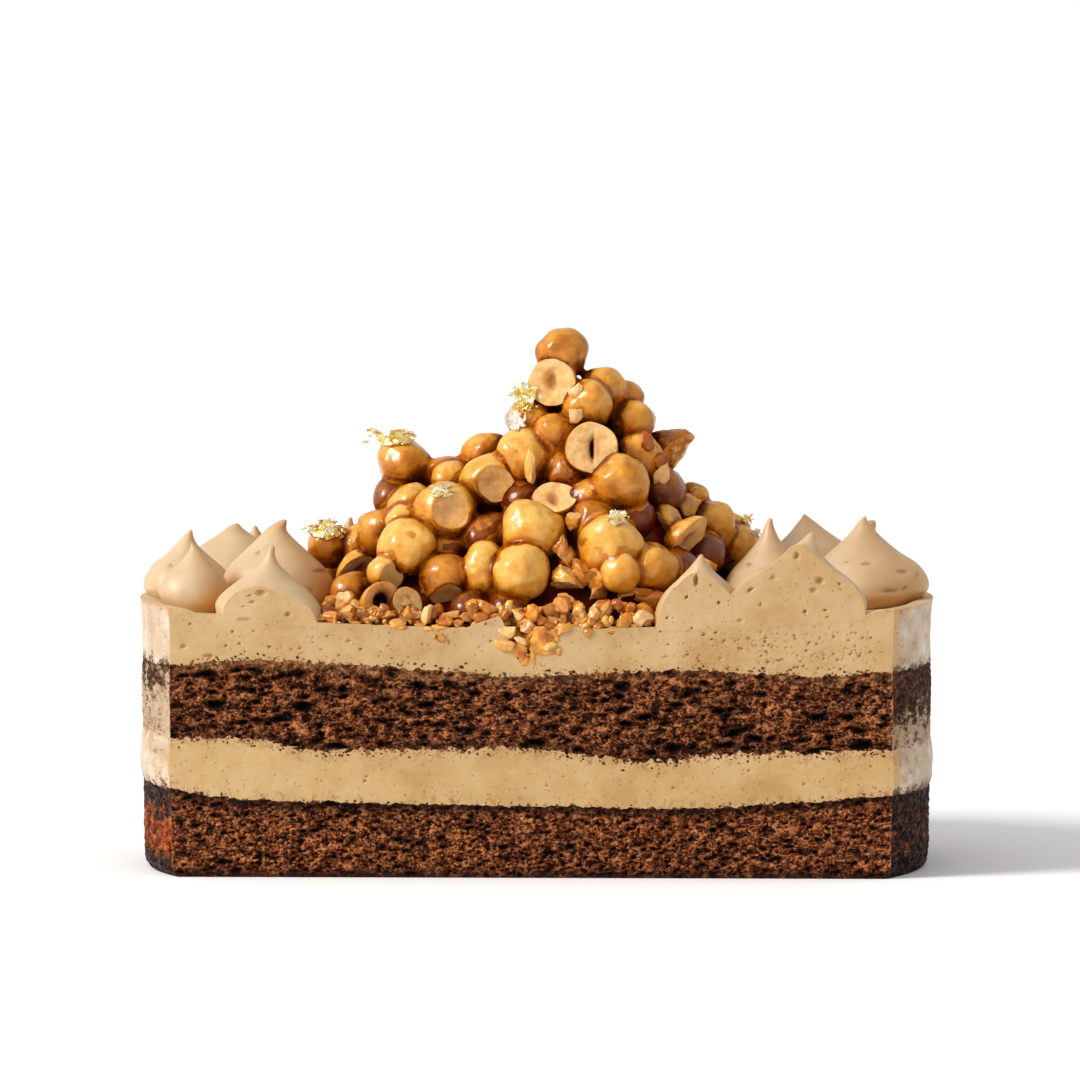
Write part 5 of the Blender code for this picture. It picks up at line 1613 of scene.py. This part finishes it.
# Chips along the cut: pixel column and row, width and height in pixels, turn in degrees, how far behind the
# cut the middle lies in millimetres, how dark, and how much caramel is on it
EDGE_CHIPS = [
    (505.7, 643.5, 25, 18, 8, 0.2, 0.2, 0.45), (520.4, 639.6, 17, 8, 38, -0.5, 0.1, 0.1),
    (507.6, 630, 19, 15, 25, 0.0, 0.1, 0.35), (525.5, 628.8, 20, 20, 20, 0.4, 0.4, 0.75),
    (518.5, 615.4, 14, 17, -10, 2.2, 0.1, 0.3), (549.7, 646, 16, 7, -25, -0.4, 0.1, 0.2),
    (561, 630, 25, 14, -6, 0.4, 0.2, 0.55), (555, 621, 20, 11, 12, 2.0, 0.5, 0.9),
    (561.8, 607.8, 20, 25, -6, 4.0, 0.5, 0.8), (579, 620.5, 11, 20, 12, 1.4, 0.4, 0.8),
    (583, 614, 9, 12, 0, 1.6, 0.2, 0.3), (593.7, 614, 14, 17, 28, 1.4, 0.3, 0.6),
    (604.6, 609.7, 14, 23, 25, 2.2, 0.4, 0.7), (606.5, 620, 11, 11, 0, 1.0, 0.2, 0.25),
    (588.6, 633.5, 12, 12, 0, 0.1, 0.4, 0.8), (623.7, 622, 24, 17, -28, 1.2, 0.4, 0.7),
    (644, 618.5, 23, 20, 10, 0.6, 0.0, 0.0), (487.2, 609.5, 28, 24, -12, 2.4, 0.5, 0.8),
    (473.5, 611, 14, 18, 10, 1.6, 0.5, 1.0), (475, 625, 11, 8, 0, 0.8, 0.1, 0.3),
    (509.5, 607.8, 12, 15, 20, 3.0, 0.2, 0.3), (500, 612, 12, 15, -20, 2.6, 0.3, 0.6),
    (397, 624.5, 18, 12, -8, 0.7, 0.2, 0.5), (407.5, 613, 13, 16, -30, 2.0, 0.4, 0.8),
    (427.8, 615.7, 14, 23, 6, 1.6, 0.0, 0.15), (443.3, 621, 22, 13, 10, 1.2, 0.7, 1.0),
    (454, 614, 26, 8, -8, 2.4, 0.4, 0.7), (459.6, 623.5, 13, 9, 0, 1.0, 0.6, 0.9),
    (466, 616, 15, 12, 15, 1.8, 0.5, 0.8), (320.3, 617.6, 10, 15, 8, 2.4, 0.6, 0.9),
    (434, 636, 6, 7, 0, 0.0, 0.4, 0.7), (441, 638, 8, 9, 20, 0.0, 0.5, 0.8),
    (447, 641, 5, 8, 0, 0.0, 0.4, 0.8), (436, 610, 14, 13, 0, 3.4, 0.6, 0.9),
    (572, 628, 10, 9, 0, 0.8, 0.3, 0.5), (541, 622, 14, 12, 30, 1.6, 0.4, 0.8),
    (548, 611, 16, 18, -25, 3.6, 0.6, 0.9), (534, 634, 9, 8, 0, 1.2, 0.4, 0.8),
    (613, 628, 10, 8, 0, 0.9, 0.4, 0.7), (634, 627, 11, 8, 10, 0.8, 0.4, 0.7),
    (492, 624, 12, 8, 5, 0.8, 0.4, 0.7), (598, 627, 12, 9, -10, 0.8, 0.5, 0.8),
    (617, 606, 14, 16, -20, 4.0, 0.6, 0.9), (575, 604, 12, 14, 0, 4.2, 0.6, 0.9),
    (631, 608, 14, 14, 0, 4.0, 0.6, 0.9), (419, 626, 12, 7, 0, 0.9, 0.4, 0.7),
    (385, 627, 10, 6, 0, 0.9, 0.5, 0.8), (355, 625, 12, 7, 0, 1.0, 0.6, 0.9),
]
# Drops of clear caramel: pixel column and row, width and height in pixels, how far behind the cut
AMBER_DROPS = [
    (532.5, 614, 14, 20, 1.4), (542.7, 642, 28, 30, 1.0), (553, 636, 22, 16, 1.2), (534, 656, 10, 28, 1.0),
    (548, 628, 22, 14, 2.4), (473, 606, 16, 14, 2.6), (402, 628, 14, 5, 0.6), (586, 626, 14, 10, 1.6),
    (558, 651, 10, 10, 0.8), (517, 647, 12, 10, 1.2), (521, 650, 15, 18, 0.9), (525, 643, 14, 12, 1.3),
    (524, 660, 11, 14, 0.9), (496, 618, 14, 10, 2.0), (440, 628, 18, 7, 0.9), (610, 632, 10, 4, 0.5),
    (428, 629, 12, 5, 0.5),
]


def placed_chip(body, place, front, tone, glaze):
    """A chip at its place, no further than this in front of the cut, with its fields."""
    points, faces, flesh, hole = body
    points = points + place
    points[:, 1] = np.maximum(points[:, 1], -CUT_DISTANCE - front)
    if glaze < PALE_GLAZE:
        flesh = np.maximum(flesh, 0.8)
    return points, faces, {"flesh": flesh, "hole": hole, "film": np.full(len(points), 0.75 * glaze),
                           "tone": np.full(len(points), tone), "glazed": np.full(len(points), glaze)}


def chip_body(seed, level, wide, tall, thick, turn=0.0):
    """A chip of nut with flat breaks, of a size in millimetres, turned about the way that the cut faces."""
    points, faces, flesh, hole = nut_body(level, random.Random(seed), "chunk", None)
    points = points / np.abs(points).max(axis=0) * (0.5 * wide, 0.5 * (thick * min(wide, tall)), 0.5 * tall)
    angle = math.radians(turn)
    x = points[:, 0] * math.cos(angle) + points[:, 2] * math.sin(angle)
    z = points[:, 2] * math.cos(angle) - points[:, 0] * math.sin(angle)
    return np.stack([x, points[:, 1], z], axis=1), faces, flesh, hole


def behind_cut(column, row, behind):
    """Where a pixel lies at a distance behind the cut."""
    x, z = cut_place(column, row)
    return x, -CUT_DISTANCE + behind, z - behind * math.tan(VIEW_ELEVATION)


def make_crumbs(surface):
    """Chopped nut along the cut's edge, in the notch and round the heap's foot."""
    draw = random.Random(CRUMB_SEED)
    members = []
    for index, (column, row, width, height, front, tone, glaze) in enumerate(SHOWN_CHIPS):
        place = from_photo(column, row, -front)
        seen = seen_at(surface, column, row) if front > CHIP_ON_NUTS else None
        if seen is not None:
            place = seen - VIEW_WAY * CHIP_STANDS * min(width, height) / PHOTO_SCALE
        body = chip_body(FIRST_CHIP_SEED + index, 4, width / PHOTO_SCALE, height / PHOTO_SCALE, 0.77)
        members.append(placed_chip(body, np.array(place[:]), 0.25, tone, glaze))
    for index, (column, row, width, height, turn, behind, tone, glaze) in enumerate(EDGE_CHIPS):
        level = 3 if max(width, height) < FINE_CHIP_WIDTH else 4
        body = chip_body(FIRST_EDGE_SEED + index, level, width / PHOTO_SCALE, height / PHOTO_SCALE, 0.8, turn)
        members.append(placed_chip(body, behind_cut(column, row, behind), 1.1, tone, glaze))
    for index in range(CRUMB_COUNT):
        size = CRUMB_SIZE[0] + (CRUMB_SIZE[1] - CRUMB_SIZE[0]) * draw.random() ** 1.5
        if index < NOTCH_CRUMBS:
            x = draw.gauss(NOTCH_X, 3.4)
            y = draw.uniform(-41.4, -37.5)
            z = top_height(x, y, 1.0) + size * draw.uniform(0.3, 2.6)
        else:
            x = draw.uniform(-52.0, 31.0)
            y = draw.uniform(-40.9, -32.0)
            z = cake_top(x, y) + size * draw.uniform(0.3, 1.7)
        level = 2 if size < 1.5 else 3
        points, *rest = nut_body(level, random.Random(FIRST_CRUMB_SEED + index), "chunk", None)
        look = draw.uniform(0.2, 0.9), draw.uniform(PALE_GLAZE, 1.0)
        members.append(placed_chip((points * size, *rest), np.array([x, y, z]), 0.2, *look))
    for points, _, fields in members:
        middle = points.mean(axis=0)[None, :] - (0.0, 2.0, -1.0)
        # painted shade: one value for each chip by how closed in it is
        fields["shade"] = np.full(len(points), sheltered(surface, middle, np.array([[0.0, -0.6, 0.8]]))[0])
    piece = merged("chopped_nuts", members, [NUT_SKIN], sharp=38)
    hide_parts("nut_heap")


def make_amber_drops():
    """Clear caramel among the chips in the notch and along the cut."""
    members = []
    ways, faces = BALLS[4]
    for index, (column, row, width, height, behind) in enumerate(AMBER_DROPS):
        wide, tall = 0.5 * width / PHOTO_SCALE, 0.5 * height / PHOTO_SCALE
        form = 1.0 + 0.28 * noise_at(ways, 0.8, 3.0 * index) + 0.10 * noise_at(ways, 0.3, 5.0 * index)
        points = ways * form[:, None] * (wide, 0.8 * min(wide, tall) + 0.4, tall)
        points = points + behind_cut(column, row, behind)
        points[:, 1] = np.maximum(points[:, 1], -CUT_DISTANCE - 0.3)
        members.append((points, faces, {}))
    piece = merged("amber_caramel", members, [AMBER])
    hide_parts("nut_heap")


# Gold leaf: pixel column and row of the middle, width and height in pixels, and how pale it is
GOLD_LEAVES = [
    ("far_left", 321.5, 530, 46, 22, 0.0), ("corner", 389, 436.5, 54, 17, 0.0),
    ("side_gold", 525, 396, 32, 30, 0.0), ("side_white", 514, 418, 24, 23, 0.9),
    ("half_fleck", 441, 490.5, 26, 14, 0.2), ("cluster_fleck", 618, 517, 24, 17, 0.2),
    ("right_fleck", 750, 518, 12, 9, 0.0), ("right_curl", 759, 532, 11, 9, 0.5),
]
FIRST_LEAF_SEED = 400
LEAF_SHEETS = ((1.0, 1.0), (0.55, 0.7), (0.45, 0.5))  # share of the width and height of each sheet
LEAF_COLUMNS = 36
LEAF_ROWS = 22
LEAF_EASE = 10
LEAF_REACH = 3.0  # how far a free stretch may follow the surface away from the leaf's middle
LEAF_THICKNESS = 0.06


def leaf_place(row, column):
    """Where a spot of a sheet lies across and up it, -1 to 1."""
    return column / (LEAF_COLUMNS - 1) * 2.0 - 1.0, row / (LEAF_ROWS - 1) * 2.0 - 1.0


def make_leaf(surface, index, name, column, row, width, height, pale):
    """A scrap of gold leaf: ragged sheets that cling to the nuts and lift off them in crumples."""
    draw = random.Random(FIRST_LEAF_SEED + index)
    points = []
    faces = []
    for sheet, (share_w, share_h) in enumerate(LEAF_SHEETS):
        middle_c = column + draw.uniform(-0.5, 0.5) * (1.0 - share_w) * width
        middle_r = row + draw.uniform(-0.5, 0.5) * (1.0 - share_h) * height
        tilt = draw.uniform(-0.25, 0.25)
        seed = index * 9.0 + sheet * 3.7
        start = len(points)
        spots = []
        for i, j in np.ndindex(LEAF_ROWS, LEAF_COLUMNS):
            u, v = leaf_place(i, j)
            across = middle_c + 0.5 * width * share_w * (u * math.cos(tilt) - 0.4 * v * math.sin(tilt))
            down = middle_r + 0.5 * height * share_h * (v * math.cos(tilt) + 0.4 * u * math.sin(tilt))
            spots.append((i, j, u, v, across, down, seen_at(surface, across, down)))
        depths = [spot[6].dot(VIEW_WAY) for spot in spots if spot[6] is not None]
        nearest = min(depths) if depths else from_photo(column, row, 0.0).dot(VIEW_WAY)
        drape = np.full((LEAF_ROWS, LEAF_COLUMNS), nearest + 0.6 * LEAF_REACH)
        for i, j, _, _, _, _, seen in spots:
            if seen is not None:
                drape[i, j] = min(seen.dot(VIEW_WAY), nearest + LEAF_REACH)
        for _ in range(LEAF_EASE):
            for way in (drape, drape.T):
                way[1:-1] = np.minimum(way[1:-1], (way[:-2] + way[1:-1] + way[2:]) / 3.0)
        for i, j, u, v, across, down, _ in spots:
            fold = soft_noise(u * 2.2 + seed, v * 1.6, 0.3)
            crinkle = soft_noise(u * 6.0 + seed, v * 4.5, 1.3)
            lift = 0.35 + 0.25 * sheet + 0.055 * width / PHOTO_SCALE * (0.6 + fold) + 0.35 * abs(crinkle)
            x, z = cut_place(across + 1.2 * crinkle, down + 1.5 * fold)
            on_cut = Vector((x, -CUT_DISTANCE, z))
            points.append((on_cut + VIEW_WAY * (drape[i, j] - lift - on_cut.dot(VIEW_WAY)))[:])
        for i, j in np.ndindex(LEAF_ROWS - 1, LEAF_COLUMNS - 1):
            u, v = leaf_place(i + 0.5, j + 0.5)
            ragged = 0.75 * soft_noise(u * 2.4 + seed, v * 2.0, 9.0)
            ragged += 0.30 * soft_noise(u * 7.0 + seed, v * 6.0, 4.0)
            if math.hypot(u, v) + ragged < 0.80:
                here = start + i * LEAF_COLUMNS + j
                faces.append([here, here + 1, here + LEAF_COLUMNS + 1, here + LEAF_COLUMNS])
    used, faces = used_only(faces)
    points = [points[k] for k in used]
    fields = {"pale": np.full(len(points), pale)}
    piece = new_piece("gold_leaf_" + name, points, faces, [GOLD], fields=fields, sharp=40)
    piece.modifiers.new("thickness", "SOLIDIFY").thickness = LEAF_THICKNESS * MM
    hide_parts("nut_heap")


# Surroundings. Lights are in metres, watts and degrees

FLOOR_HALF = 30.0
SKY_STRENGTH = 0.58
SUN_STRENGTH = 1.95
SUN_SPREAD = 24.0
SUN_COLOUR = (1.0, 0.995, 0.985)
SUN_WAY = Vector((0.80, 0.42, -0.62))
WINDOW_PLACE = Vector((-0.75, -0.42, 0.55))
WINDOW_TARGET = Vector((0.0, 0.0, 0.08))
WINDOW_SIZE = (0.40, 0.45)
WINDOW_POWER = 1.7


def put(name, data, place=(0.0, 0.0, 0.0), way=None):
    """An object in the scene that looks along a way."""
    thing = bpy.data.objects.new(name, data)
    thing.location = place
    if way is not None:
        thing.rotation_euler = way.to_track_quat("-Z", "Y").to_euler()
    bpy.context.scene.collection.objects.link(thing)
    return thing


def make_surroundings():
    mesh = bpy.data.meshes.new("floor")
    corners = ((-1, -1), (1, -1), (1, 1), (-1, 1))
    mesh.from_pydata([(FLOOR_HALF * x, FLOOR_HALF * y, 0.0) for x, y in corners], [], [(0, 1, 2, 3)])
    g = Graph("floor", Roughness=0.8, Specular_IOR_Level=0.1, Base_Color=(0.94, 0.94, 0.94, 1.0))
    mesh.materials.append(g.material)
    floor = put("floor", mesh)
    world = bpy.data.worlds.new("studio")
    world.use_nodes = True
    background = world.node_tree.nodes["Background"]
    background.inputs["Color"].default_value = (1.0, 1.0, 1.0, 1.0)
    background.inputs["Strength"].default_value = SKY_STRENGTH
    bpy.context.scene.world = world
    sun = bpy.data.lights.new("key", "SUN")
    sun.energy = SUN_STRENGTH
    sun.angle = math.radians(SUN_SPREAD)
    sun.color = SUN_COLOUR
    put("key", sun, way=SUN_WAY)
    window = bpy.data.lights.new("left_window", "AREA")
    window.shape = "RECTANGLE"
    window.size, window.size_y = WINDOW_SIZE
    window.energy = WINDOW_POWER
    put("left_window", window, WINDOW_PLACE, WINDOW_TARGET - WINDOW_PLACE)


def make_camera():
    """A long lens at the photograph's angle. The target is the middle of the photograph on the cut plane."""
    x, z = cut_place(PHOTO_SIZE / 2.0, PHOTO_SIZE / 2.0)
    data = bpy.data.cameras.new("camera")
    data.sensor_width = 36.0
    data.lens = data.sensor_width * CAMERA_DISTANCE / (PHOTO_SIZE / PHOTO_SCALE)
    data.clip_end = 30.0
    place = Vector((x, -CUT_DISTANCE, z)) * MM - VIEW_WAY * CAMERA_DISTANCE * MM
    bpy.context.scene.camera = put("camera", data, place, VIEW_WAY)


OUTER_NUTS = heap_nuts(KISSES)
make_camera()
make_surroundings()
make_layers()
make_specks()
for number, one_kiss in enumerate(KISSES):
    make_kiss(one_kiss, number)
make_core()
nut_surface = make_heap()
make_crumbs(nut_surface)
make_amber_drops()
for number, leaf in enumerate(GOLD_LEAVES):
    make_leaf(nut_surface, number, *leaf)
bpy.context.scene.view_settings.view_transform = "Standard"
bpy.context.scene.view_settings.look = "Medium High Contrast"
